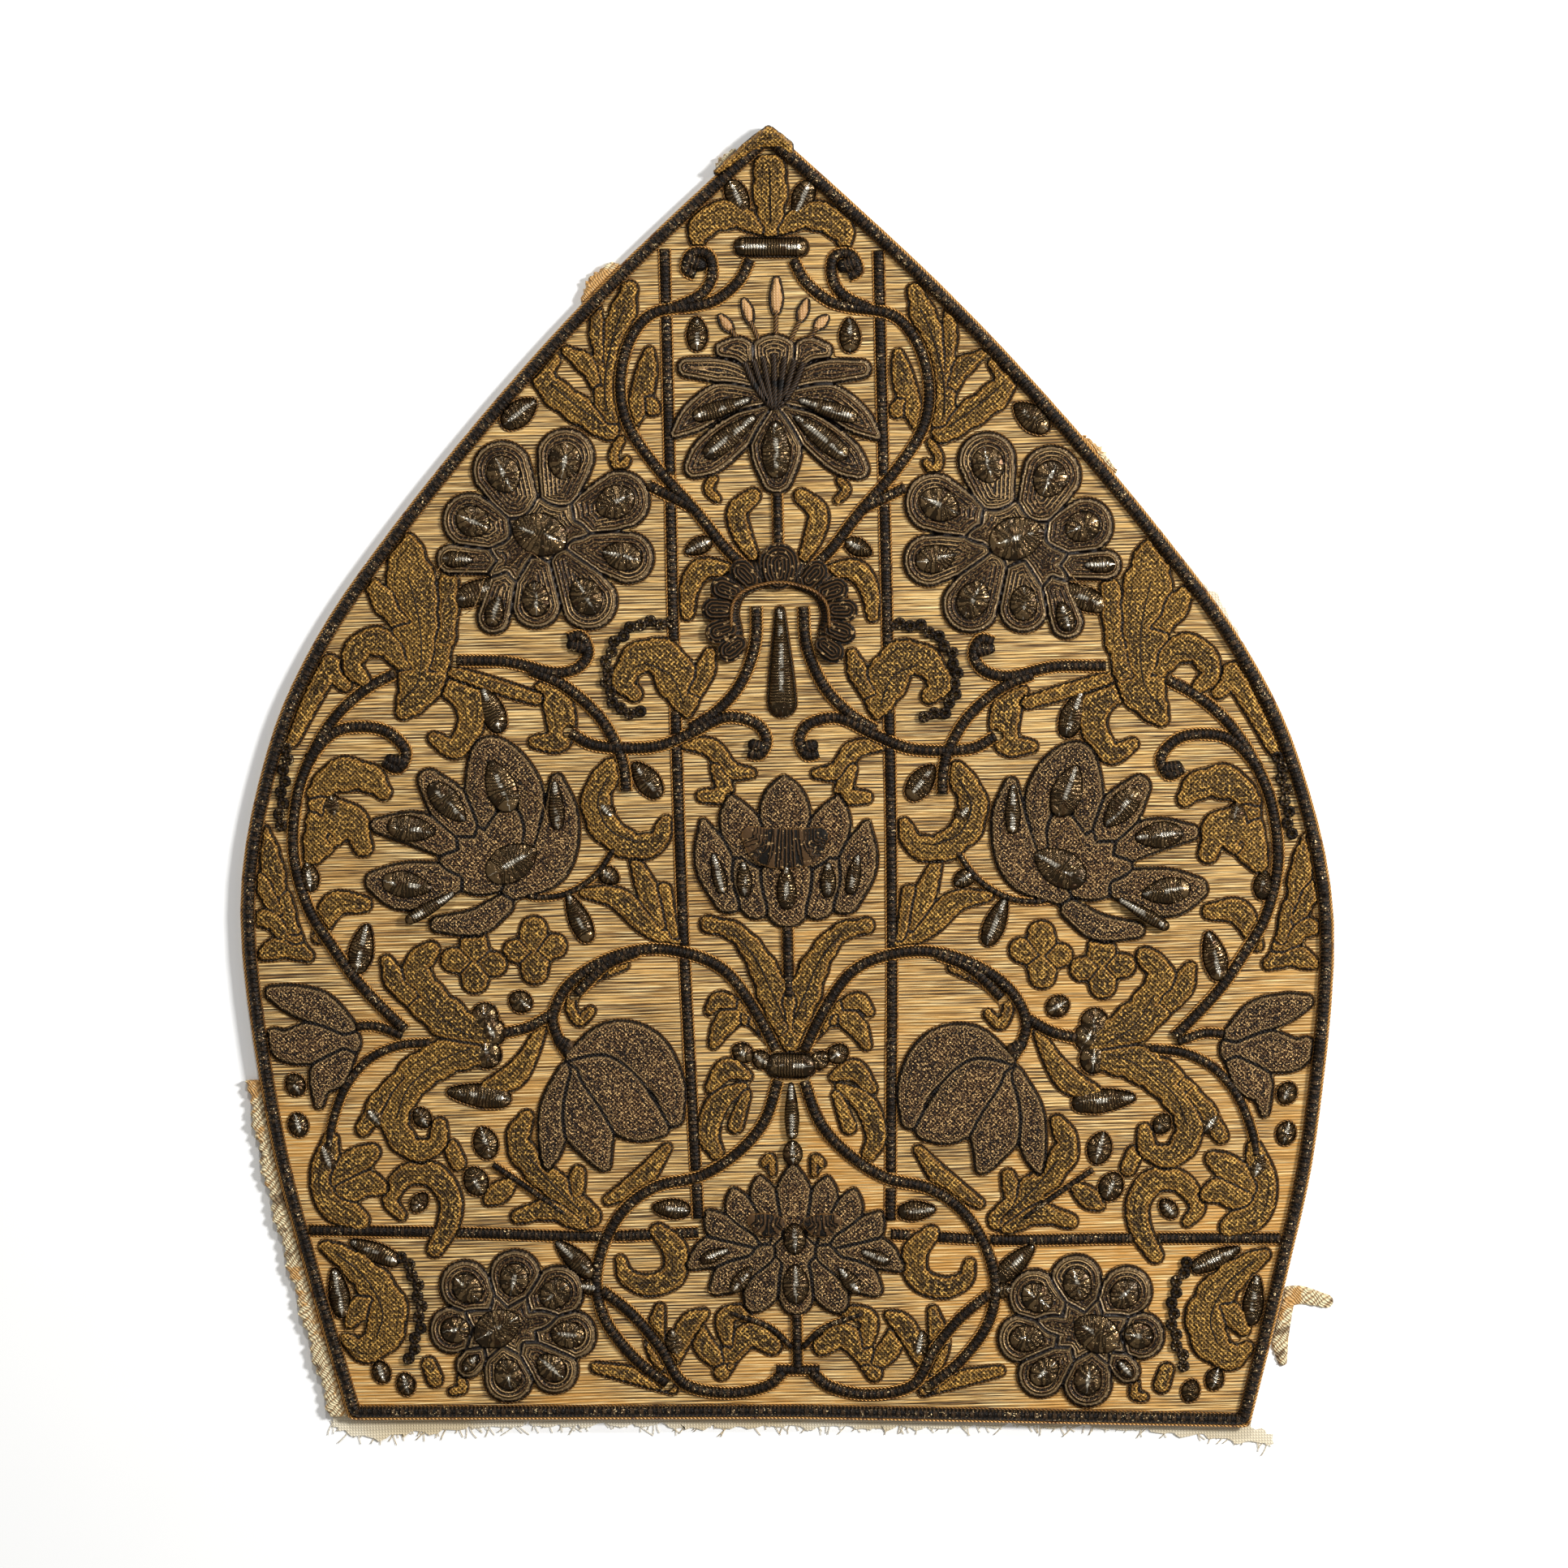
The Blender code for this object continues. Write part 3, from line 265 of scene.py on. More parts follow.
# Small gold leaves and curls that are too fine for the solids
SMALL_LEAVES = (
    (((-28.4, 76.2, 1.6), (-29.8, 75, 1.8), (-28.8, 74, 1.8), (-27.4, 74.6, 1.6)),),
    (((-26.4, 77.2, 2), (-24.8, 79.2, 4), (-23.4, 81.4, 4), (-22.8, 83, 2)),
     ((-24.6, 80, 2.4), (-22.4, 78.6, 3))),
    (((-4.7, 66.9, 2.2), (-6.6, 68.6, 3.6), (-7.4, 70.4, 3.8), (-4.4, 71.6, 2.8)),),
    (((-11, 71.4, 1.4), (-12.6, 72.2, 1.8), (-11.6, 73, 1.6)),),
    (((-9, 65.8, 2.6), (-14, 66, 4), (-16.5, 64.5, 3.6), (-17, 62.5, 2.4)),),
    (((-60, 58.4, 2.4), (-52, 57.2, 2.8), (-45, 56.2, 2.4)),),
    (((-63, 57.5, 3), (-58, 56.5, 5.6), (-57, 54.5, 5), (-60, 52.5, 4), (-64, 53.3, 2.4)),),
    (((-44, 57, 2.6), (-41, 55.5, 5.6), (-41, 53, 4.6), (-45.5, 52.8, 2.4)),),
    (((-18, 52.5, 2.4), (-13, 52, 3.4), (-10, 50.3, 3.4), (-6, 50, 2)),
     ((-12, 50.5, 3), (-11, 48.5, 3.4), (-15, 48.3, 2.4))),
    (((-90, 53.5, 3), (-87, 57, 6), (-83, 59, 5), (-80, 57.6, 2.6)),),
    (((-86, 38, 2.4), (-83, 40.5, 4.6), (-77.5, 40.5, 3)),),
    (((-57.5, 37.4, 5), (-57.5, 36, 6), (-57.5, 34.4, 5)), ((-61.4, 36, 4.6), (-57.5, 35.8, 5), (-53.8, 35.6, 4.6))),
    (((-46.5, 38.2, 5), (-46.5, 36.6, 6), (-46.5, 35, 5)), ((-50, 36.6, 4.4), (-46.5, 36.5, 5), (-42.8, 36.9, 4.6))),
    (((-20.5, 36.8, 2.4), (-26, 38.6, 4.4), (-31, 40.5, 4), (-37, 41, 2)),
     ((-23, 38, 2.4), (-25, 40.5, 4.4), (-28, 43.8, 1.8)), ((-21, 37.4, 2.4), (-22.5, 41, 3))),
    (((-30, 35.3, 1.8), (-36, 34.3, 2), (-40, 32.6, 2), (-38.6, 31, 2), (-36.4, 31.8, 1.8)),),
    (((-45.5, 30.5, 2), (-48, 28.4, 3.4), (-51, 26.8, 4.6), (-55.4, 26, 3)),),
    (((-84.6, 22.2, 3), (-85.6, 19.6, 6), (-84, 17.2, 6.4), (-79.6, 15.9, 3.6)),
     ((-84, 19, 7), (-79.4, 20.6, 5), (-77, 21.2, 3)), ((-83, 18.4, 7), (-78.4, 18.8, 5), (-75.8, 18.4, 3))),
    (((-66, 13.5, 3), (-63.5, 15.4, 4), (-63, 17.5, 4.4), (-66, 19.3, 4.6), (-71, 19.3, 4), (-74, 17.5, 3),
      (-72, 16.2, 2)),),
    (((-62.6, 21.4, 3), (-61.4, 20.2, 3)),),
    (((-56, 17.2, 2), (-54, 17.8, 4), (-51.6, 18.6, 2)),),
    (((-34, 17, 2), (-28, 18.5, 4), (-23, 21, 1.8)),),
    (((-25, 14.5, 3), (-22, 13, 4.6), (-22.5, 11, 4.4), (-27, 10.3, 4), (-31, 11, 3), (-32, 12.3, 2)),),
    (((-24, 3, 2.4), (-26, 6, 4), (-25, 8.5, 2)), ((-24, 3.5, 2.4), (-20, 7, 4), (-17, 8, 2)),
     ((-23, 2.2, 2), (-30, 3.3, 3), (-37, 4, 2))),
    (((-14, 3.4, 3), (-12, 5, 4), (-8.4, 6.3, 4.6), (-4.6, 5.4, 3.6)),
     ((-13, 4, 3), (-16.6, 5.2, 4), (-18.6, 7, 3)), ((-12, 5.2, 3), (-13.2, 7.6, 3.4), (-9, 8.2, 2.6))),
    (((-67.6, 4.6, 2.6), (-66.6, 3.4, 3)),),
    (((-63.4, 2.4, 1.6), (-61.6, 2.6, 1.8), (-61.8, 3.6, 1.6)),),
    (((-3, 29, 2), (-8, 31.5, 4), (-12, 30.5, 4), (-14, 29, 2)), ((-8, 31, 3), (-12.4, 32.4, 3.2), (-14.6, 31.6, 2))),
    (((-8, 26.4, 2), (-11.6, 27, 4), (-14.6, 25.6, 2.4)),
     ((-9, 25.6, 2), (-13.4, 24.4, 4.2), (-15.4, 22, 4), (-13.8, 20.4, 2.6)), ((-8.4, 25, 2), (-10.4, 22.6, 3))),
    (((-5.2, 19.6, 1.6), (-4, 20, 1.6), (-3.8, 18.8, 1.4)),),
)

# Purl pads: across, up at the start and at the end, and their width
PADS = (
    (-4.5, 93.5, -7, 95.8, 2.8), (-14, 85.6, -14, 83.4, 2.6), (-44, 79.4, -49, 77.8, 3.2),
    (-50, 65.5, -59, 64, 3), (-17, 67.3, -13, 68.1, 2.2), (-55, 57.3, -52, 54, 3),
    (-27.5, 51, -23.5, 48.7, 3), (-34, 48, -32, 47, 2), (-83, 49, -82.6, 47.6, 2.6),
    (-87.7, 43.8, -87.2, 42, 2.4), (-77, 39, -79, 35.5, 3), (-40.2, 41, -36.6, 37.4, 2.6),
    (-56, 32.2, -55.8, 31, 3.4), (-55.4, 30.9, -54.2, 30, 3.4), (-55.8, 29.4, -55.4, 28.2, 3.4),
    (-50.6, 33, -48.4, 32.4, 2.6), (-63.6, 25.8, -52, 25.1, 3), (-68.8, 24.4, -67.2, 23.4, 2.2),
    (-77.8, 24.6, -76, 23.6, 2.4), (-91.6, 27.2, -90.4, 26.2, 2.4), (-91, 24.2, -90.2, 23, 2.4),
    (-86.2, 21.8, -84.8, 20.2, 2.4), (-57, 22.8, -55.8, 21, 3), (-59.2, 19.6, -57.6, 18.2, 3),
    (-26, 16.4, -19.8, 16.1, 2.4), (-44, 14, -37.4, 11.2, 2.6), (-22.9, 6.8, -22.1, 5.2, 2.4),
    (-84.6, 12.4, -83.2, 8.6, 2.6), (-82, 14.4, -73, 12.6, 2.4), (-77, 4.8, -76, 3.6, 2.2),
    (-72.4, 3.8, -71.6, 2.6, 2.2), (-6.6, 28.1, -4.6, 27.4, 2.2), (-10, 28.6, -8, 28, 2.4),
    (-40, 10.4, -36.4, 10.2, 2), (-8.4, 40, -5.6, 41.6, 2.4), (-67.4, 17.8, -69.4, 16.8, 2),
    (-31, 41.8, -33.6, 42.6, 2.2),
)
CURL_ENDS = (
    ((-15.2, 90.0, 2.4), (-13.2, 89.7, 2.6)), ((-38.2, 60.3, 2.2), (-36.4, 60.1, 2.4)),
    ((-5.4, 52.2, 2.2), (-4.2, 52, 2.4)), ((-72, 51.7, 2.2), (-70, 51.5, 2.4)),
    ((-42.2, 29.5, 2.2), (-40.8, 29.1, 2.4)),
)
MIDDLE_PADS = (
    (0, 26.2, 0, 21.4, 2.2), (0, 21.2, 0, 19.8, 3), (0, 77.4, 0, 73.4, 4.4), (0, 14.8, 0, 13, 3.4),
    (0, 11.6, 0, 9.2, 4), (0, 42.8, 0, 39.6, 3),
)

# Patches of upright dark stitches in the flowers of the middle line
HATCHES = (
    ((-6.2, 45.1, 3.6), (-3, 44.2, 7), (3, 44.2, 7), (6.2, 45.1, 3.6)),
    ((-7.4, 15.2, 2.4), (-5, 14.8, 4.4), (-2.8, 14.9, 2.4)),
    ((7.4, 15.2, 2.4), (5, 14.8, 4.4), (2.8, 14.9, 2.4)),
)

# Pads that lie on a flower
FLOWER_PADS = (
    (-3, 78, -12.8, 74.8, 3.2), (-3.6, 79.2, -15, 77.8, 2.6), (-48, 69.6, -41, 68.6, 6.4),
    (-46, 44.4, -53, 42.8, 5.6), (-53.6, 51.4, -50.6, 48, 4.6), (-58.6, 46.8, -64, 49.4, 4),
    (-64, 46, -71.6, 46.5, 4), (-65, 41.6, -72.8, 42.2, 4), (-42, 50, -41.6, 46, 2.4),
    (-60, 41.4, -70, 39, 2), (-7.8, 43.2, -7.6, 40.6, 2.4), (-13.4, 44, -11.6, 40.8, 2.2),
    (-8, 11.6, -11.2, 9.9, 2.4), (-12, 13, -17, 12.2, 2), (-51.4, 8, -57, 6.8, 5.6),
)

# Chains of small loops, and the fan of pads around the collar
CHAINS = (
    ((-20, 61.8), (-26, 61.8), (-31, 60), (-32, 57.5), (-30, 55.3), (-26, 54.9)),
    ((-90.8, 52.8), (-91.8, 50), (-92.6, 46.8)),
    ((-72, 13), (-69.6, 11), (-69, 8), (-71, 5)),
)
COLLAR_ARCH = ((-9, 61.4), (-8.6, 63.2), (-6, 64.3), (0, 64.8), (6, 64.3), (8.6, 63.2), (9, 61.4))
FAN = ((-8.4, 59.9), (-10.3, 61.2), (-10.8, 62.8), (-9.2, 64.2), (-5.9, 65.3), (0, 65.7))
STAMENS = (
    ((0.2, 82), (0.4, 84), (0.6, 86)), ((-1.4, 82), (-3, 84), (-4.2, 85.2)),
    ((-2.4, 82), (-5.4, 83.2), (-7.8, 84.6)), ((1.8, 82), (3.4, 84), (5, 85.4)),
    ((2.8, 82), (5.6, 83.4), (8, 84.8)),
)
LOOSE_THREADS = (
    ((-57, 66.4), (-60, 65), (-62, 62.8), (-60.4, 61.4)), ((-54, 65.6), (-56, 63.4), (-59.6, 62.4), (-61, 60.6)),
    ((-49.4, 66.4), (-46, 67.6), (-42.6, 66.6)), ((-58, 68), (-62.4, 66.4), (-64, 64)),
    ((-47.4, 49), (-44.6, 48.2), (-43.4, 46.6)), ((52, 67), (55.6, 65.4), (58.4, 65.8)),
    ((-12.4, 10.4), (-14, 9.6), (-16.6, 9.8)), ((49, 45.6), (52.6, 46.8), (54.4, 45.2)),
)
LILY_RIBS = (
    ((0, 78.2), (0, 80.2), (0, 82.6)), ((-0.5, 78.3), (-1.2, 80.2), (-2, 82.4)),
    ((-1, 78.5), (-2.4, 80.2), (-3.8, 82.2)), ((-1.5, 78.9), (-3.6, 80.2), (-5.4, 82)),
)
BUDS = (
    ((0.6, 86, 1.8), (0.7, 87, 2.6), (0.8, 88.4, 1.4)), ((-4.2, 85.2, 1.4), (-4.6, 86, 2.2), (-5.2, 86.8, 1.2)),
    ((-7.8, 84.6, 1.4), (-8.6, 85, 2.2), (-9.6, 85.6, 1.2)), ((5, 85.4, 1.4), (5.5, 86, 2.2), (6.2, 86.8, 1.2)),
    ((8, 84.8, 1.4), (8.8, 85.2, 2.2), (9.8, 85.6, 1.2)),
)
VEINS = (
    ((-70, 56), (-66.4, 58), (-66, 62), (-68, 66)),
    ((0, 92.8), (0, 97)),
    ((-18, 55.6), (-20.4, 57.8), (-25, 58.8)),
    ((-31, 78.4), (-31, 81), (-29.2, 84.4), (-27, 86.6)),
    ((-31.6, 77.4), (-36, 78.8), (-41, 80.6)),
    ((-58, 29.9), (-63, 31.3), (-67, 33.8)),
    ((-58.4, 29.1), (-64, 28.2), (-70, 26.2), (-72.4, 23.8)),
    ((-84, 13.4), (-78.8, 11.4), (-75.8, 8.8), (-77, 6.8)),
    ((-39, 16.2), (-44, 18.3), (-48.6, 20.6)),
    ((-1, 30.8), (-2.8, 32.6), (-6, 35.6), (-10, 37.6)),
    ((-32.2, 50), (-34.2, 48), (-32, 45.8), (-27, 44.8)),
)
THIN_STEMS = (
    ((-31.5, 44.3), (-35, 42.3), (-40, 41), (-45, 40.7), (-49, 41)),
    ((-55, 20), (-50, 18.5), (-42, 16)),
    ((-12, 8), (-5, 6.8), (-1, 5.2)),
)
WIDE_STEMS = (
    ((-66, 29.6), (-72, 29.4), (-77.6, 28.3), (-81.8, 26.2), (-84.2, 23.6), (-85, 21.6)),
    ((-81, 30.9), (-76, 31), (-71, 30.2)),
)
MIDDLE_STEMS = (((0, 72), (0, 66)), ((0, 8), (0, 3.5)), ((-4, 3.5), (4, 3.5)))

PIECES = {
    "middle flowers": (("lily", LILY), ("middle_lotus", MIDDLE_LOTUS), ("lower_lotus", LOWER_LOTUS),
                       ("shell_collar", SHELL_COLLAR)),
    "side flowers": (("upper_rosette", UPPER_ROSETTE), ("peony", PEONY), ("tulip", TULIP),
                     ("bell_flower", BELL_FLOWER), ("lower_rosette", LOWER_ROSETTE)),
    "large leaves": (("acanthus", ACANTHUS), ("trumpet_leaf", TRUMPET_LEAF)),
    "ties": (("crest_tie", CREST_TIE), ("knot", KNOT), ("centre_drop", CENTRE_DROP)),
    "stems": (("top_stem", TOP_STEM), ("collar_stem", COLLAR_STEM), ("circle_stem", CIRCLE_STEM),
              ("outer_stem", OUTER_STEM), ("arch_stem", ARCH_STEM), ("lower_stem", LOWER_STEM)),
    "middle leaves": (("crest", CREST), ("vase_leaf", VASE_LEAF)),
    "side leaves": (("top_leaf", TOP_LEAF), ("chain_leaf", CHAIN_LEAF), ("loop_leaf", LOOP_LEAF),
                    ("tongue_leaf", TONGUE_LEAF), ("side_leaf", SIDE_LEAF), ("corner_leaf", CORNER_LEAF),
                    ("tulip_leaf", TULIP_LEAF)),
}


def tone(red, green, blue):
    """Linear colour of three display values from 0 to 255."""
    shares = [value / 255 for value in (red, green, blue)]
    return tuple(c / 12.92 if c < 0.04045 else ((c + 0.055) / 1.055) ** 2.4 for c in shares)


def colour_setting(name, description, shade):
    return FloatVectorProperty(name=name, description=description, default=tone(*shade), size=3,
                               min=0, max=1, subtype="COLOR")


def length_setting(name, description, value):
    return FloatProperty(name=name, description=description, default=value, min=0.00005, max=0.02,
                         precision=5, subtype="DISTANCE", unit="LENGTH")


class MitreSizes(bpy.types.PropertyGroup):
    """Sizes of the threads, cords and pads."""

    outline_radius: length_setting("Outline cord", "Radius of the cord around a motif", 0.00030)
    gold_radius: length_setting("Gold thread", "Radius of the gold thread beside a cord", 0.00020)
    stem_radius: length_setting("Stem band", "Half the width of the dark band of a stem", 0.00150)
    edging_radius: length_setting("Border edging", "Radius of the cord beside the border", 0.00045)
    thread_pitch: length_setting("Laid threads", "Distance between laid ground threads", 0.0010)
    rib_pitch: length_setting("Purl ribs", "Distance between the ribs of a purl pad", 0.0009)
    lattice_pitch: length_setting("Leaf lattice", "Distance between couching stitches on leaves", 0.0012)
    ring_pitch: length_setting("Petal rings", "Distance between the cords of a rosette petal", 0.0013)
    link_pitch: length_setting("Stem links", "Distance between the links of a stem", 0.0022)


class MitreColours(bpy.types.PropertyGroup):
    """Colours of the silk, the metal threads and the cloth."""

    silk: colour_setting("Laid silk", "Pale strands of the ground", (230, 184, 110))
    silk_dark: colour_setting("Worn ground", "Grey brown places of the ground", (138, 102, 56))
    silk_gold: colour_setting("Golden ground", "Golden places of the ground", (208, 152, 74))
    cord: colour_setting("Dark cord", "Couched dark cords", (14, 7, 2))
    gilt: colour_setting("Gilt thread", "Bronze gold of the leaves", (102, 73, 24))
    silver: colour_setting("Tarnished silver", "Petals of the flowers", (100, 69, 38))
    purl: colour_setting("Purl", "Coiled wire of the pads", (110, 88, 58))
    bright: colour_setting("Bright thread", "Thin gold lines", (138, 96, 42))
    lining: colour_setting("Lining", "Cream cloth of the back", (236, 226, 202))
    braid: colour_setting("Braid", "Seam braid at the side", (255, 236, 190))
    floor: colour_setting("Floor", "Pale floor under the panel", (250, 250, 249))


def spot(across, up):
    """Place in metres of a table entry, on the left or the right half."""
    drop = max(0.0, 1.0 - up / WIDEST_UP)
    base = BASE_WIDTH / (TABLE_BASE * PANEL_WIDTH)
    x = across / 100 * PANEL_WIDTH / 2 * (1 + (base - 1) * drop)
    y = (up / 100 - 0.5) * PANEL_HEIGHT - FALL * max(x, 0.0)
    return x, y


def smooth(rows, steps=ROUTE_STEPS):
    """Curve through all rows of numbers, with straight continuations at its ends."""
    rows = [np.array(row, float) for row in rows]
    rows = [2 * rows[0] - rows[1]] + rows + [2 * rows[-1] - rows[-2]]
    curve = []
    for a, b, c, d in zip(rows, rows[1:], rows[2:], rows[3:]):
        for step in range(steps):
            t = step / steps
            bend = (2 * a - 5 * b + 4 * c - d) * t ** 2 + (3 * b - a - 3 * c + d) * t ** 3
            curve.append((2 * b + (c - a) * t + bend) / 2)
    curve.append(rows[-2])
    return curve


def stroke(rows, width=None):
    """Smooth stroke of (x, y, radius) from table rows, of one width or of their own."""
    placed = []
    for row in rows:
        share = row[2] / 100 * PANEL_WIDTH / 2 if width is None else width
        placed.append((*spot(row[0], row[1]), share / 2))
    return smooth(placed)


def mirrored(strokes):
    return tuple(tuple((-row[0],) + tuple(row[1:]) for row in rows) for rows in strokes)


def both_sides(strokes):
    """Strokes and their mirror images, but for those that are their own."""
    return strokes + mirrored(tuple(rows for rows in strokes if abs(rows[0][0] + rows[-1][0]) > 0.2))


def scalloped(curve, depth=0.09, pitch=0.0078):
    """Stroke whose width swells and narrows along it, as the edge of a leaf does."""
    reach = 0.0
    waved = [curve[0]]
    for before, after in zip(curve, curve[1:]):
        reach += math.hypot(after[0] - before[0], after[1] - before[1])
        wave = math.cos(2 * math.pi * reach / pitch)
        waved.append((after[0], after[1], after[2] * (1 - depth * wave)))
    return waved


def purl_rows(pad):
    """Rows of a drop that swells between the two ends of a pad."""
    a, b, c, d, width = pad
    shares = ((0.12, 0.5), (0.35, 0.95), (0.65, 1.25), (0.9, 1.0))
    return tuple((a + (c - a) * t, b + (d - b) * t, width * w) for t, w in shares)


def side_outline():
    """Whole edge of the panel, up the right side from its corner and down the left."""
    left = smooth([spot(*row) for row in SIDE])
    right = smooth([spot(-row[0], row[1]) for row in SIDE])
    return np.array(right[:0:-1] + left + [spot(*BASE_MIDDLE)])


def lobe(curve, x, y):
    """Depth inside one stroke, and the place along and across it."""
    depth = np.full(x.shape, -PANEL_HEIGHT)
    along = np.zeros(x.shape)
    across = np.zeros(x.shape)
    length = 0.0
    for (ax, ay, ar), (bx, by, br) in zip(curve, curve[1:]):
        dx, dy = bx - ax, by - ay
        run = max(math.hypot(dx, dy), FINEST ** 2)
        share = np.clip(((x - ax) * dx + (y - ay) * dy) / run ** 2, 0, 1)
        offx = x - ax - share * dx
        offy = y - ay - share * dy
        reach = np.hypot(offx, offy)
        inside = np.maximum(ar + share * (br - ar), FINEST) - reach
        nearer = inside > depth
        depth = np.where(nearer, inside, depth)
        along = np.where(nearer, length + share * run, along)
        across = np.where(nearer, np.copysign(reach, dx * offy - dy * offx), across)
        length += run
    return depth, along, across


class Cloth:
    """Grid over the panel that keeps how deep each place lies under the work."""

    def __init__(self):
        self.edge = side_outline()
        margin = 0.06 * PANEL_WIDTH
        low = self.edge.min(axis=0) - margin
        high = self.edge.max(axis=0) + margin
        self.xs = np.arange(low[0], high[0], GRID_STEP)
        self.ys = np.arange(low[1], high[1], GRID_STEP)
        self.x, self.y = np.meshgrid(self.xs, self.ys, indexing="ij")
        self.inside = self.edge_depth()
        self.laid = self.inside - BORDER_WIDTH - CLEARANCE
        self.fields = {}
        self.plan()

    def edge_depth(self):
        """Distance to the edge of the panel, positive inside it."""
        ring = [(x, y, 0.0) for x, y in self.edge] + [(*self.edge[0], 0.0)]
        far = FINEST - lobe(ring, self.x, self.y)[0]
        within = np.zeros(self.x.shape, bool)
        for (ax, ay, _), (bx, by, _) in zip(ring, ring[1:]):
            spans = (ay > self.y) != (by > self.y)
            slope = (bx - ax) / (by - ay) if by != ay else 0.0
            within ^= spans & (self.x < ax + (self.y - ay) * slope)
        return np.where(within, far, -far)

    def window(self, strokes):
        """Slices of the grid around some strokes."""
        points = np.array([point for curve in strokes for point in curve])
        reach = points[:, 2].max() + 6 * GRID_STEP
        low = points.min(axis=0)[:2] - reach
        high = points.max(axis=0)[:2] + reach
        first = np.searchsorted(self.xs, low[0]), np.searchsorted(self.ys, low[1])
        last = np.searchsorted(self.xs, high[0]), np.searchsorted(self.ys, high[1])
        return slice(first[0], last[0]), slice(first[1], last[1])

    def set_out(self, name, strokes):
        """Field of one motif, kept clear of all that is laid before it."""
        part = self.window(strokes)
        motif = fields(strokes, self.x[part], self.y[part])
        motif["part"] = part
        motif["free"] = self.laid[part] - CLEARANCE
        motif["whole"] = motif["depth"]
        motif["depth"] = np.minimum(motif["depth"], motif["free"])
        self.laid[part] = np.minimum(self.laid[part], -motif["depth"])
        self.fields[name] = motif

    def plan(self):
        """Lay all motifs in the order in which the solids give way to each other."""
        knob = fields([stroke(rows) for rows in KNOB], self.x, self.y)["depth"]
        self.laid = np.minimum(self.laid, -knob)
        for group, motifs in PIECES.items():
            for name, rows in motifs:
                width = STEM_WIDTH if group == "stems" else None
                leafy = scalloped if "leaves" in group else list
                if group.startswith("middle") or group == "ties":
                    self.set_out(name, [leafy(stroke(row, width)) for row in both_sides(rows)])
                else:
                    self.set_out(name + "_left", [leafy(stroke(row, width)) for row in rows])
                    self.set_out(name + "_right", [leafy(stroke(row, width)) for row in mirrored(rows)])
        for number, rows in enumerate(SMALL_LEAVES, 1):
            self.set_out(f"small_leaf_{number}_left", [stroke(row) for row in rows])
            self.set_out(f"small_leaf_{number}_right", [stroke(row) for row in mirrored(rows)])

    def sample(self, values, points):
        """Values of the grid at some places, from the nearest crossing."""
        i = np.clip(np.rint((points[:, 0] - self.xs[0]) / GRID_STEP).astype(int), 0, len(self.xs) - 1)
        j = np.clip(np.rint((points[:, 1] - self.ys[0]) / GRID_STEP).astype(int), 0, len(self.ys) - 1)
        return values[i, j]


def fields(strokes, x, y):
    """Depth in the nearest of some strokes, how near the crease is, and the place in it."""
    best = np.full(x.shape, -PANEL_HEIGHT)
    second = best.copy()
    along = np.zeros(x.shape)
    across = np.zeros(x.shape)
    for curve in strokes:
        depth, length, side = lobe(curve, x, y)
        nearer = depth > best
        second = np.where(nearer, best, np.maximum(second, depth))
        along = np.where(nearer, length, along)
        across = np.where(nearer, side, across)
        best = np.where(nearer, depth, best)
    gap = best - second
    rise = np.maximum(steepest(gap, 0), steepest(gap, 1)) / (x[1, 0] - x[0, 0])
    crease = gap / np.clip(rise, 0.4, 2) + 0.003 * np.clip(1 - rise / 0.4, 0, 1)
    return {"depth": best, "crease": crease, "along": along, "across": across}


def steepest(values, axis):
    """Larger of the steps to the neighbours before and after each place."""
    steps = np.abs(np.diff(values, axis=axis))
    before = np.insert(steps, 0, 0, axis=axis)
    after = np.append(steps, np.zeros_like(np.take(steps, [0], axis=axis)), axis=axis)
    return np.maximum(before, after)


CLOTHS = {}


def cloth():
    """The planned cloth, worked out once."""
    if not CLOTHS:
        CLOTHS["panel"] = Cloth()
    return CLOTHS["panel"]


def corner_links(solid):
    """Links from edge to edge of the grid cells that an outline crosses."""
    mixed = solid[:-1, :-1].astype(int) + solid[1:, :-1] + solid[1:, 1:] + solid[:-1, 1:]
    links = {}
    for i, j in np.argwhere((mixed > 0) & (mixed < 4)).tolist():
        ring = ((i, j), (i + 1, j), (i + 1, j + 1), (i, j + 1))
        for k in range(4):
            if solid[ring[k]] and not solid[ring[(k + 1) % 4]]:
                back = k - 1
                while not (not solid[ring[back % 4]] and solid[ring[(back + 1) % 4]]):
                    back -= 1
                leave = (ring[back % 4], ring[(back + 1) % 4])
                links[tuple(sorted((ring[k], ring[(k + 1) % 4])))] = tuple(sorted(leave))
    return links


def trace(depth, xs, ys):
    """Closed loops where a depth is zero."""
    links = corner_links(depth > 0)
    loops = []
    while links:
        start, following = links.popitem()
        chain = [start]
        while following != start:
            chain.append(following)
            following = links.pop(following)
        loop = []
        for a, b in chain:
            share = depth[a] / (depth[a] - depth[b])
            loop.append((xs[a[0]] + share * (xs[b[0]] - xs[a[0]]),
                         ys[a[1]] + share * (ys[b[1]] - ys[a[1]])))
        loops.append(np.array(loop))
    return loops


def even(points, spacing, closed):
    """Evenly spaced points along a run, with its small steps smoothed."""
    run = np.array(points, float)
    if closed:
        for _ in range(2):
            run = (np.roll(run, 1, axis=0) + 2 * run + np.roll(run, -1, axis=0)) / 4
        run = np.vstack([run, run[:1]])
    reach = np.concatenate([[0], np.cumsum(np.hypot(*np.diff(run, axis=0).T))])
    count = max(int(reach[-1] / spacing), 3)
    marks = np.linspace(0, reach[-1], count + 1)
    placed = np.column_stack([np.interp(marks, reach, run[:, 0]), np.interp(marks, reach, run[:, 1])])
    return placed[:-1] if closed else placed


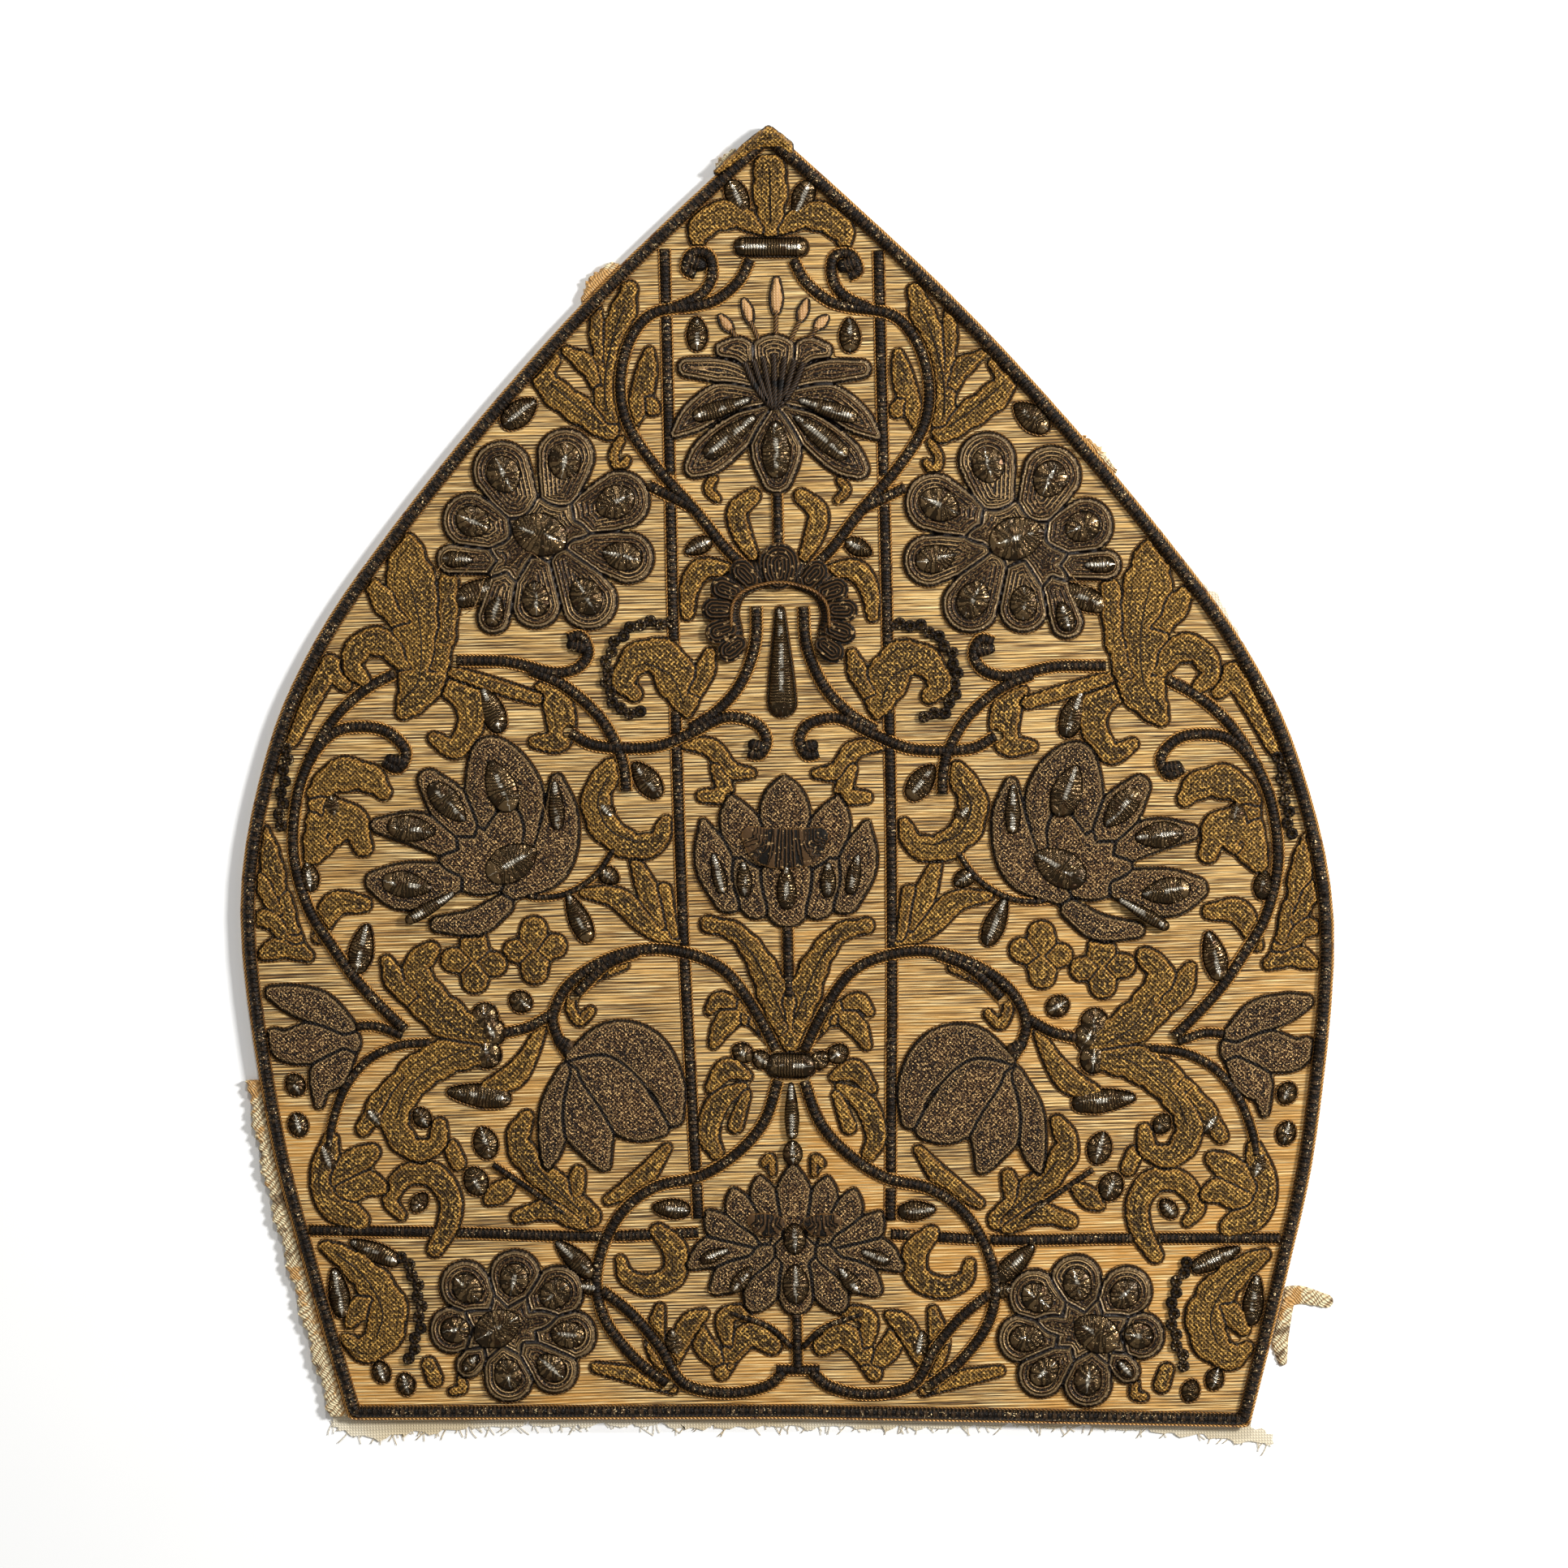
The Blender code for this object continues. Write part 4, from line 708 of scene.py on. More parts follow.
def kept_runs(points, closed, keep):
    """Parts of a run that are kept, as (points, closed) pairs."""
    if keep.all():
        return [(points, closed)]
    if closed:
        first = int(np.argmin(keep))
        points = np.roll(points, -first, axis=0)
        keep = np.roll(keep, -first)
    runs = []
    current = []
    for point, stays in zip(points, keep):
        if stays:
            current.append(point)
        elif current:
            runs.append(current)
            current = []
    if current:
        runs.append(current)
    return [(np.array(run), False) for run in runs if len(run) > 3]


def offset(points, by):
    """Open run moved sideways by a distance."""
    way = np.gradient(points, axis=0)
    way /= np.maximum(np.hypot(*way.T), 1e-9)[:, None]
    return points + by * np.column_stack([-way[:, 1], way[:, 0]])


class Relief:
    """Closed raised patches, gathered in one mesh."""

    def __init__(self):
        self.work = bmesh.new()
        self.marks = {}
        for name in ("depth", "crease", "along", "across"):
            self.marks[name] = self.work.verts.layers.float.new(name)

    def add(self, xs, ys, motif, height, bottom):
        """Patch where the motif has depth, with its own height over every place."""
        depth = motif["depth"]
        step = xs[1] - xs[0]
        middle = ((xs[0] + xs[-1]) / 2, (ys[0] + ys[-1]) / 2, 0)
        spread = Matrix.Translation(middle) @ Matrix.Diagonal((xs[-1] - xs[0], ys[-1] - ys[0], 1, 1))
        grid = bmesh.ops.create_grid(self.work, x_segments=len(xs) - 1, y_segments=len(ys) - 1,
                                     size=0.5, matrix=spread)
        places = {}
        spare = []
        for vert in grid["verts"]:
            i, j = round((vert.co.x - xs[0]) / step), round((vert.co.y - ys[0]) / step)
            if depth[i, j] > -0.45 * step:
                places[vert] = (i, j)
            else:
                spare.append(vert)
        bmesh.ops.delete(self.work, geom=spare, context="VERTS")
        self.tidy(places)
        if not places:
            return
        slope_x, slope_y = np.gradient(depth, step)
        for vert, (i, j) in places.items():
            vert.co.z = height[i, j]
            for name, layer in self.marks.items():
                vert[layer] = motif[name][i, j]
            if vert.is_boundary:
                steep = max(slope_x[i, j] ** 2 + slope_y[i, j] ** 2, 0.25)
                move = max(-0.8 * step, min(0.8 * step, depth[i, j]))
                vert.co.x -= slope_x[i, j] / steep * move
                vert.co.y -= slope_y[i, j] / steep * move
        self.close(places, bottom)

    def tidy(self, places):
        """Take out loose corners, where two patches touch at one point only."""
        poor = True
        while poor:
            poor = [v for v in places if not v.link_faces or sum(e.is_boundary for e in v.link_edges) > 2]
            for vert in poor:
                del places[vert]
            bmesh.ops.delete(self.work, geom=poor, context="VERTS")

    def close(self, places, bottom):
        """Walls down from the rim of a patch, and its underside."""
        rim = {edge for vert in places for edge in vert.link_edges if edge.is_boundary}
        walls = bmesh.ops.extrude_edge_only(self.work, edges=list(rim))["geom"]
        low = [item for item in walls if isinstance(item, bmesh.types.BMVert)]
        for vert in low:
            vert.co.z = bottom
        foot = [item for item in walls if isinstance(item, bmesh.types.BMEdge) and item.is_boundary]
        bmesh.ops.triangle_fill(self.work, edges=foot, use_beauty=True, normal=(0, 0, -1))

    def make(self, name, look, nodes=()):
        bmesh.ops.recalc_face_normals(self.work, faces=self.work.faces[:])
        mesh = bpy.data.meshes.new(name)
        self.work.to_mesh(mesh)
        self.work.free()
        mesh.shade_smooth()
        mesh.set_sharp_from_angle(angle=math.radians(60))
        return place_piece(name, mesh, look, nodes)


def place_piece(name, mesh, look, nodes=()):
    """Piece in the scene that rides with the panel and stands for its solids."""
    mesh.materials.clear()
    mesh.materials.append(look)
    piece = bpy.data.objects.new(name, mesh)
    bpy.context.scene.collection.objects.link(piece)
    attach(piece, "root")
    if nodes:
        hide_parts(*nodes)
    return piece


def cords(name, runs, radius, height, look, nodes=(), flatten=1.0, sides=6, taper=None):
    """Closed tubes along runs of points, at one height over the ground."""
    curve = bpy.data.curves.new(name, "CURVE")
    curve.dimensions = "3D"
    curve.twist_mode = "Z_UP"
    curve.resolution_u = 1
    curve.bevel_depth = radius
    curve.bevel_resolution = (sides - 4) // 2
    along = []
    centres = []
    normals = []
    for points, closed in runs:
        count = len(points)
        spline = curve.splines.new("POLY")
        spline.points.add(count - 1)
        spline.use_cyclic_u = closed
        level = np.full(count, height) if np.isscalar(height) else height(points)
        spline.points.foreach_set("co", np.column_stack([points, level, np.ones(count)]).ravel())
        if taper is not None and not closed:
            spline.points.foreach_set("radius", taper(count))
        steps = np.hypot(*np.diff(points, axis=0).T)
        along.append(np.concatenate([[0], np.cumsum(steps)]))
        way = np.gradient(points, axis=0)
        way /= np.maximum(np.hypot(*way.T), 1e-9)[:, None]
        normals.append(np.column_stack([-way[:, 1], way[:, 0]]))
        centres.append(np.column_stack([points, level]))
    holder = bpy.data.objects.new(name + " route", curve)
    bpy.context.scene.collection.objects.link(holder)
    bpy.context.view_layer.update()
    mesh = bpy.data.meshes.new_from_object(holder.evaluated_get(bpy.context.evaluated_depsgraph_get()))
    bpy.data.objects.remove(holder)
    along = np.concatenate(along)
    centres = np.vstack(centres)
    normals = np.vstack(normals)
    around = len(mesh.vertices) // len(along)
    if around * len(along) != len(mesh.vertices):
        raise RuntimeError(f"{name}: the tube has {len(mesh.vertices)} points for {len(along)} places")
    spots = np.empty(len(mesh.vertices) * 3)
    mesh.vertices.foreach_get("co", spots)
    spots = spots.reshape(-1, 3)
    owner = np.repeat(np.arange(len(along)), around)
    away = spots - centres[owner]
    side = (away[:, :2] * normals[owner]).sum(axis=1)
    spots[:, 2] = centres[owner][:, 2] + away[:, 2] * flatten
    mesh.vertices.foreach_set("co", spots.ravel())
    for label, values in (("along", along[owner]), ("across", side)):
        mesh.attributes.new(label, "FLOAT", "POINT").data.foreach_set("value", values)
    while mesh.uv_layers:
        mesh.uv_layers.remove(mesh.uv_layers[0])
    work = bmesh.new()
    work.from_mesh(mesh)
    ends = [edge for edge in work.edges if edge.is_boundary]
    bmesh.ops.holes_fill(work, edges=ends, sides=0)
    bmesh.ops.recalc_face_normals(work, faces=work.faces[:])
    work.to_mesh(mesh)
    work.free()
    mesh.name = name
    mesh.shade_smooth()
    return place_piece(name, mesh, look, nodes)


def domed(depth, rise, shoulder):
    """Height of a padded form at a depth inside its edge."""
    share = np.clip(depth / shoulder, 0, 1)
    return rise * np.sqrt(np.maximum(1 - (1 - share) ** 2, 0))


class Recipe:
    """Node tree of one material, written a step at a time."""

    def __init__(self, name):
        self.look = bpy.data.materials.new(name)
        self.look.use_nodes = True
        self.tree = self.look.node_tree
        self.surface = self.tree.nodes["Principled BSDF"]
        self.place = self.node("TexCoord").outputs["Object"]

    def node(self, kind, inputs=(), **settings):
        step = self.tree.nodes.new("ShaderNode" + kind)
        for key, value in settings.items():
            setattr(step, key, value)
        for key, value in dict(inputs).items():
            self.feed(step.inputs[key], value)
        return step

    def feed(self, socket, value):
        if isinstance(value, bpy.types.NodeSocket):
            self.tree.links.new(value, socket)
        elif isinstance(value, tuple) and socket.type == "RGBA":
            socket.default_value = (*value, 1)
        else:
            socket.default_value = value

    def maths(self, operation, a, b=0.5, c=0.5):
        return self.node("Math", {0: a, 1: b, 2: c}, operation=operation).outputs[0]

    def mark(self, name):
        """Value that each point of the mesh carries."""
        return self.node("Attribute", attribute_name=name).outputs["Fac"]

    def noise(self, scale, detail=2.0, stretch=(1, 1, 1), roughness=0.5):
        """Cloudy value around a half, stretched along the axes."""
        spread = self.node("Mapping", {"Vector": self.place, "Scale": stretch}).outputs[0]
        inputs = {"Vector": spread, "Scale": scale, "Detail": detail, "Roughness": roughness}
        return self.node("TexNoise", inputs).outputs["Fac"]

    def cells(self, scale, stretch=(1, 1, 1)):
        """Distance to the nearest of many scattered points."""
        spread = self.node("Mapping", {"Vector": self.place, "Scale": stretch}).outputs[0]
        return self.node("TexVoronoi", {"Vector": spread, "Scale": scale}).outputs["Distance"]

    def band(self, value, low, high, start=0.0, end=1.0):
        """Soft step of a value between two limits."""
        inputs = {"Value": value, "From Min": low, "From Max": high, "To Min": start, "To Max": end}
        return self.node("MapRange", inputs, interpolation_type="SMOOTHSTEP").outputs["Result"]

    def wave(self, value, pitch, shift=0.0):
        """Round wave from 0 to 1 over every pitch of a length."""
        turn = self.maths("MULTIPLY_ADD", value, 2 * math.pi / pitch, shift)
        return self.maths("MULTIPLY_ADD", self.maths("SINE", turn), 0.5, 0.5)

    def blend(self, share, a, b, kind="MIX"):
        mix = self.node("Mix", data_type="RGBA", blend_type=kind)
        self.feed(mix.inputs[0], share)
        self.feed(mix.inputs[6], a)
        self.feed(mix.inputs[7], b)
        return mix.outputs[2]

    def split(self):
        """The three coordinates of a place."""
        return self.node("SeparateXYZ", {0: self.place}).outputs

    def set(self, colour, roughness, metallic, height=None, depth=0.0002, strength=1.0):
        self.feed(self.surface.inputs["Base Color"], colour)
        self.feed(self.surface.inputs["Roughness"], roughness)
        self.feed(self.surface.inputs["Metallic"], metallic)
        if height is not None:
            bump = self.node("Bump", {"Height": height, "Distance": depth, "Strength": strength})
            self.feed(self.surface.inputs["Normal"], bump.outputs["Normal"])
        return self.look


def shaded(colour, share):
    return tuple(value * share for value in colour)


def ground_look(sizes, colours):
    """Laid metal strips with thin dark gaps and cream streaks of painted highlight, worn to grey brown and gold in
    places.
    """
    recipe = Recipe("laid thread ground")
    x, y, z = recipe.split()
    sway = recipe.noise(22, 2)
    level = recipe.maths("MULTIPLY_ADD", sway, 0.0022, y)
    fine = recipe.wave(level, sizes.thread_pitch)
    streak = recipe.noise(1.0, 2, (55, 2900, 1), 0.6)
    broad = recipe.noise(1.0, 3, (30, 1200, 1), 0.65)
    cloud = recipe.noise(16, 3)
    low = recipe.band(y, -0.15, 0.04, 1.0, 0.0)
    golden = recipe.maths("MULTIPLY", low, recipe.band(cloud, 0.40, 0.60))
    base = recipe.blend(recipe.band(broad, 0.38, 0.60), tuple(colours.silk_dark), tuple(colours.silk))
    base = recipe.blend(golden, base, tuple(colours.silk_gold))
    # Painted highlight: cream streaks along the laid strands, where the stretched noise peaks
    pale = recipe.band(streak, 0.52, 0.61)
    base = recipe.blend(recipe.maths("MULTIPLY", pale, 0.85), base, tone(255, 224, 160))
    gap = recipe.maths("MULTIPLY", recipe.band(fine, 0.45, 0.10), recipe.band(broad, 0.60, 0.42, 0.25, 1.0))
    torn = recipe.band(streak, 0.425, 0.36)
    soft = recipe.maths("MULTIPLY", recipe.maths("MAXIMUM", gap, torn), recipe.band(golden, 0.9, 0.2, 0.35, 1.0))
    colour = recipe.blend(recipe.maths("MULTIPLY", soft, 0.92), base, tone(36, 21, 7))
    height = recipe.maths("ADD", recipe.maths("MULTIPLY", fine, 0.6), streak)
    wall = recipe.band(z, GROUND_TOP - 0.0007, GROUND_TOP - 0.0004, 1.0, 0.0)
    colour = recipe.blend(wall, colour, tone(104, 74, 40))
    return recipe.set(colour, 0.5, 0.3, height, 0.0005, 0.9)


def cord_look(sizes, colours, name="dark couched cord", pitch_share=1.0):
    """Near black band with worn square links along its middle and a few painted glints."""
    recipe = Recipe(name)
    along = recipe.mark("along")
    across = recipe.mark("across")
    link = recipe.wave(along, sizes.link_pitch * pitch_share)
    middle = recipe.band(recipe.maths("ABSOLUTE", across), 0.0010, 0.0005)
    wear_and_glint = recipe.noise(1500, 2)
    patch = recipe.noise(160, 3)
    tick = recipe.maths("MULTIPLY", recipe.band(link, 0.45, 0.7), middle)
    tick = recipe.maths("MULTIPLY", tick, recipe.band(patch, 0.35, 0.65, 0.15, 0.8))
    sides = recipe.maths("MULTIPLY", recipe.band(recipe.maths("ABSOLUTE", across), 0.0007, 0.0010),
                         recipe.band(recipe.wave(along, sizes.link_pitch * 0.55), 0.6, 0.9))
    tick = recipe.maths("MAXIMUM", tick, recipe.maths("MULTIPLY", sides, recipe.band(patch, 0.3, 0.6, 0.5, 1.3)))
    # Painted glints: pale specks where the fine noise peaks, in patches
    painted_glint = recipe.maths("MULTIPLY", recipe.band(wear_and_glint, 0.62, 0.69), recipe.band(patch, 0.45, 0.6))
    colour = recipe.blend(tick, tuple(colours.cord), tone(74, 54, 32))
    colour = recipe.blend(painted_glint, colour, tone(218, 190, 140))
    height = recipe.maths("ADD", recipe.band(link, 0.3, 0.6), recipe.maths("MULTIPLY", wear_and_glint, 0.8))
    rough = recipe.band(wear_and_glint, 0.3, 0.7, 0.62, 0.3)
    recipe.feed(recipe.surface.inputs["Specular IOR Level"], 0.22)
    return recipe.set(colour, rough, 0.3, height, 0.0005, 1.0)


def edging_look(sizes, colours, name, shade, dark):
    """Twisted cord, its strands crossing it at a slant."""
    recipe = Recipe(name)
    along = recipe.mark("along")
    across = recipe.mark("across")
    slant = recipe.maths("MULTIPLY_ADD", across, 1.3, along)
    strand = recipe.wave(slant, 0.0012)
    wear_and_glint = recipe.noise(260, 3)
    colour = recipe.blend(recipe.band(strand, 0.1, 0.7), dark, shade)
    colour = recipe.blend(recipe.band(wear_and_glint, 0.56, 0.66), colour, dark)
    return recipe.set(colour, 0.42, 0.4, strand, 0.0003, 0.8)


def leaf_look(sizes, colours, name="couched gilt leaf", shine=1.0):
    """Couched gilt thread: a lattice of dark stitches, with painted glints, specks of painted shade and a painted
    highlight along the shoulder; dark at its edge and where lobes meet, partly outline thread and partly painted
    shade in the creases.
    """
    recipe = Recipe(name)
    x, y, _ = recipe.split()
    warp = recipe.noise(200, 2)
    across = recipe.maths("MULTIPLY_ADD", warp, 0.0016, recipe.maths("ADD", x, y))
    along = recipe.maths("MULTIPLY_ADD", warp, 0.0016, recipe.maths("SUBTRACT", x, y))
    knots = recipe.maths("MULTIPLY", recipe.wave(across, sizes.lattice_pitch * 1.15),
                         recipe.wave(along, sizes.lattice_pitch * 1.15))
    wear_and_glint = recipe.noise(1100, 3)
    patch = recipe.noise(70, 3)
    edge = recipe.maths("MINIMUM", recipe.mark("depth"), recipe.mark("crease"))
    gilt = shaded(tuple(colours.gilt), shine)
    colour = recipe.blend(recipe.band(patch, 0.38, 0.62), shaded(gilt, 0.6), shaded(gilt, 1.35))
    # Painted glints and, on the next line, specks of painted shade, where the fine noise peaks and dips
    colour = recipe.blend(recipe.band(wear_and_glint, 0.53, 0.61, 0.0, 0.9), colour, tone(216, 168, 82))
    colour = recipe.blend(recipe.band(wear_and_glint, 0.46, 0.38, 0.0, 0.7), colour, tone(34, 20, 4))
    colour = recipe.blend(recipe.band(knots, 0.36, 0.66, 0.0, 0.75), colour, tone(40, 25, 6))
    # Painted highlight: a lighter gold band along the rising shoulder of the leaf
    rim = recipe.maths("MULTIPLY", recipe.band(edge, 0.0004, 0.0007), recipe.band(edge, 0.0013, 0.0009))
    colour = recipe.blend(recipe.maths("MULTIPLY", rim, 0.35), colour, tone(186, 130, 50))
    inner = recipe.maths("MULTIPLY", recipe.band(edge, 0.0024, 0.0026), recipe.band(edge, 0.0030, 0.0028))
    # Dark at the edge is the outline thread; the same darkening where lobes meet is painted shade in the creases
    line = recipe.maths("MAXIMUM", recipe.maths("MULTIPLY", inner, 0.55), recipe.band(edge, 0.0006, 0.0003))
    colour = recipe.blend(line, colour, tone(30, 18, 6))
    height = recipe.maths("SUBTRACT", wear_and_glint, recipe.maths("ADD", knots, inner))
    return recipe.set(colour, 0.42, 0.45, height, 0.0004, 1.0)


def petal_look(sizes, colours, rings):
    """Tarnished silver thread, in rings on rosettes and plain elsewhere, with painted glints, specks of painted
    shade, pale ring crests and a shoulder band of painted highlight, and dark at the edge, partly outline thread and
    partly painted shade where petals meet.
    """
    recipe = Recipe("ringed silver petal" if rings else "couched silver petal")
    edge = recipe.maths("MINIMUM", recipe.mark("depth"), recipe.mark("crease"))
    wear_and_glint = recipe.noise(1900, 3)
    patch = recipe.noise(80, 3)
    silver = tuple(colours.silver)
    base = recipe.blend(recipe.band(patch, 0.36, 0.62), shaded(silver, 0.5), silver)
    if rings:
        ring = recipe.wave(edge, sizes.ring_pitch, -0.4)
        base = recipe.blend(recipe.band(ring, 0.25, 0.80), tone(22, 13, 5), base)
        # Painted highlight: pale gold on the crests of the rings, in patches
        gold = recipe.maths("MULTIPLY", recipe.band(ring, 0.70, 0.92), recipe.band(patch, 0.50, 0.62))
        base = recipe.blend(recipe.maths("MULTIPLY", gold, 0.6), base, tone(206, 172, 118))
        height = recipe.maths("ADD", ring, recipe.maths("MULTIPLY", wear_and_glint, 0.4))
    else:
        x, y, _ = recipe.split()
        stipple = recipe.maths("MULTIPLY", recipe.wave(recipe.maths("ADD", x, y), 0.0013),
                               recipe.wave(recipe.maths("SUBTRACT", x, y), 0.0013))
        base = recipe.blend(recipe.band(stipple, 0.3, 0.65, 0.0, 0.75), base, tone(34, 20, 8))
        line = recipe.maths("MULTIPLY", recipe.band(edge, 0.0024, 0.0027), recipe.band(edge, 0.0034, 0.0031))
        base = recipe.blend(recipe.maths("MULTIPLY", line, 0.85), base, tone(26, 16, 8))
        height = recipe.maths("SUBTRACT", wear_and_glint, stipple)
    worn = 0.45 if rings else 1.0
    # Specks of painted shade and, on the next line, painted glints, where the fine noise dips and peaks
    base = recipe.blend(recipe.band(wear_and_glint, 0.48, 0.40, 0.0, worn), base, tone(26, 15, 7))
    base = recipe.blend(recipe.band(wear_and_glint, 0.55, 0.62, 0.0, worn), base, tone(212, 172, 114))
    # Painted highlight: a lighter band along the rising shoulder of the petal
    rim = recipe.maths("MULTIPLY", recipe.band(edge, 0.0004, 0.0008), recipe.band(edge, 0.0014, 0.0010))
    base = recipe.blend(recipe.maths("MULTIPLY", rim, 0.35), base, tone(176, 146, 100))
    # Dark at the edge is the outline thread; where petals meet, the same darkening is painted shade
    base = recipe.blend(recipe.band(edge, 0.0008, 0.0004), base, tone(20, 12, 6))
    return recipe.set(base, recipe.band(wear_and_glint, 0.3, 0.7, 0.5, 0.28), 0.5, height, 0.0005, 1.0)


def purl_look(sizes, colours):
    """Coiled dark wire over padding, with a painted highlight along the crown of its ribs."""
    recipe = Recipe("purl pad")
    along = recipe.mark("along")
    across = recipe.maths("ABSOLUTE", recipe.mark("across"))
    wear_and_glint = recipe.noise(420, 3)
    shift = recipe.maths("MULTIPLY_ADD", wear_and_glint, 0.0012, along)
    rib = recipe.wave(shift, sizes.rib_pitch)
    dark = shaded(tuple(colours.purl), 0.22)
    colour = recipe.blend(recipe.band(rib, 0.15, 0.75), dark, tuple(colours.purl))
    colour = recipe.blend(recipe.band(wear_and_glint, 0.52, 0.66, 0.0, 0.7), colour, tone(58, 36, 16))
    # Painted highlight: near-white streak along the crown of the pad, on the ribs, in patches
    painted_highlight = recipe.maths("MULTIPLY", recipe.band(across, 0.0010, 0.0002), recipe.band(rib, 0.1, 0.7, 0.35, 1.0))
    painted_highlight = recipe.maths("MULTIPLY", painted_highlight, recipe.band(recipe.noise(260, 3), 0.44, 0.54))
    colour = recipe.blend(painted_highlight, colour, tone(248, 238, 216))
    colour = recipe.blend(recipe.band(recipe.mark("depth"), 0.0007, 0.0002), colour, tone(18, 10, 4))
    return recipe.set(colour, recipe.band(wear_and_glint, 0.3, 0.7, 0.16, 0.30), 0.8, rib, 0.0004, 1.0)


def hatch_look(name, mark):
    """Close dark stitches side by side, with brown light between them."""
    recipe = Recipe(name)
    wear_and_glint = recipe.noise(700, 2)
    line = recipe.wave(recipe.maths("MULTIPLY_ADD", wear_and_glint, 0.0006, recipe.mark(mark)), 0.0012)
    colour = recipe.blend(recipe.band(line, 0.35, 0.85), tone(12, 7, 2), tone(74, 52, 28))
    # Painted glints: pale specks where the fine noise peaks
    colour = recipe.blend(recipe.band(wear_and_glint, 0.62, 0.70), colour, tone(170, 138, 92))
    colour = recipe.blend(recipe.band(recipe.mark("depth"), 0.0005, 0.0001), colour, tone(104, 72, 34))
    recipe.feed(recipe.surface.inputs["Specular IOR Level"], 0.2)
    return recipe.set(colour, 0.6, 0.2, line, 0.0005, 1.0)


def woven_look(name, shade, dark, pitch, roughness=0.85, metallic=0.0):
    """Plain weave, its threads over and under each other."""
    recipe = Recipe(name)
    x, y, _ = recipe.split()
    sway = recipe.noise(70, 2)
    warp = recipe.wave(recipe.maths("MULTIPLY_ADD", sway, 0.0012, x), pitch)
    weft = recipe.wave(recipe.maths("MULTIPLY_ADD", sway, 0.0012, y), pitch)
    weave = recipe.maths("MULTIPLY", warp, weft)
    soil = recipe.noise(28, 4)
    colour = recipe.blend(recipe.band(soil, 0.4, 0.66), shade, dark)
    colour = recipe.blend(recipe.band(weave, 0.3, 0.0, 0.0, 0.4), colour, shaded(dark, 0.6))
    return recipe.set(colour, roughness, metallic, weave, 0.0003, 0.7)


def braid_look(colours):
    """Cream braid woven in slanting rolls, with gold strands, soiled places and painted shade in the troughs of the
    rolls.
    """
    recipe = Recipe("seam braid weave")
    x, y, _ = recipe.split()
    sway = recipe.noise(220, 2)
    slant = recipe.maths("MULTIPLY_ADD", sway, 0.0045, recipe.maths("SUBTRACT", x, y))
    back = recipe.maths("MULTIPLY_ADD", sway, 0.0045, recipe.maths("ADD", x, y))
    roll = recipe.wave(slant, 0.0024)
    strand = recipe.wave(back, 0.0011)
    soil = recipe.noise(150, 4)
    colour = recipe.blend(recipe.band(strand, 0.2, 0.8), shaded(tuple(colours.braid), 0.7), tuple(colours.braid))
    # Painted shade: darker brown in the troughs of the slanting rolls
    colour = recipe.blend(recipe.band(roll, 0.45, 0.1, 0.0, 0.7), colour, tone(150, 104, 50))
    colour = recipe.blend(recipe.band(soil, 0.53, 0.62, 0.0, 0.85), colour, tone(206, 152, 80))
    colour = recipe.blend(recipe.band(soil, 0.42, 0.34, 0.0, 0.8), colour, tone(96, 66, 34))
    return recipe.set(colour, 0.7, 0.1, recipe.maths("ADD", roll, strand), 0.0005, 0.8)


def floor_look(colours):
    recipe = Recipe("pale floor")
    grain = recipe.noise(30, 2)
    shade = tuple(colours.floor)
    colour = recipe.blend(grain, shade, shaded(shade, 0.985))
    return recipe.set(colour, 0.9, 0.0)


def grid_patch(strokes, step):
    """Grid around some strokes, finer than that of the cloth."""
    points = np.array([point for curve in strokes for point in curve])
    reach = points[:, 2].max() + 2 * step
    low = points.min(axis=0)[:2] - reach
    high = points.max(axis=0)[:2] + reach
    xs = np.arange(low[0], high[0] + step, step)
    ys = np.arange(low[1], high[1] + step, step)
    return xs, ys


def settings():
    scene = bpy.context.scene
    return scene.mitre_sizes, scene.mitre_colours


def outline_runs(name, inset, spacing, other=0.0004):
    """Runs around a motif at an inset, left out where the motif goes under another."""
    panel = cloth()
    motif = panel.fields[name]
    xs, ys = panel.xs[motif["part"][0]], panel.ys[motif["part"][1]]
    depth = np.minimum(motif["whole"], motif["free"] + other)
    runs = []
    for loop in trace(depth - inset, xs, ys):
        if len(loop) < 8:
            continue
        points = even(loop, spacing, True)
        i = np.clip(np.rint((points[:, 0] - xs[0]) / GRID_STEP).astype(int), 0, len(xs) - 1)
        j = np.clip(np.rint((points[:, 1] - ys[0]) / GRID_STEP).astype(int), 0, len(ys) - 1)
        runs += kept_runs(points, True, motif["free"][i, j] > inset - other / 2)
    return runs


def raise_motif(relief, name, rise, shoulder):
    """Raise one motif of the plan in a relief."""
    panel = cloth()
    motif = panel.fields[name]
    xs, ys = panel.xs[motif["part"][0]], panel.ys[motif["part"][1]]
    wall = 0.35 * rise
    valley = np.clip(motif["crease"] / 0.0012, 0, 1)
    height = domed(motif["depth"], rise - wall, shoulder) * (0.55 + 0.45 * valley)
    swell = 0.12 * rise * np.clip(motif["depth"] / 0.006, 0, 1)
    relief.add(xs, ys, motif, GROUND_TOP + wall + height + swell, GROUND_TOP - SINK)


def make_motif(name, rise, shoulder, look, nodes):
    relief = Relief()
    raise_motif(relief, name, rise, shoulder)
    return relief.make("worked_" + name, look, nodes)


def sided(motifs):
    return [name + side for name, _ in motifs for side in ("_left", "_right")]


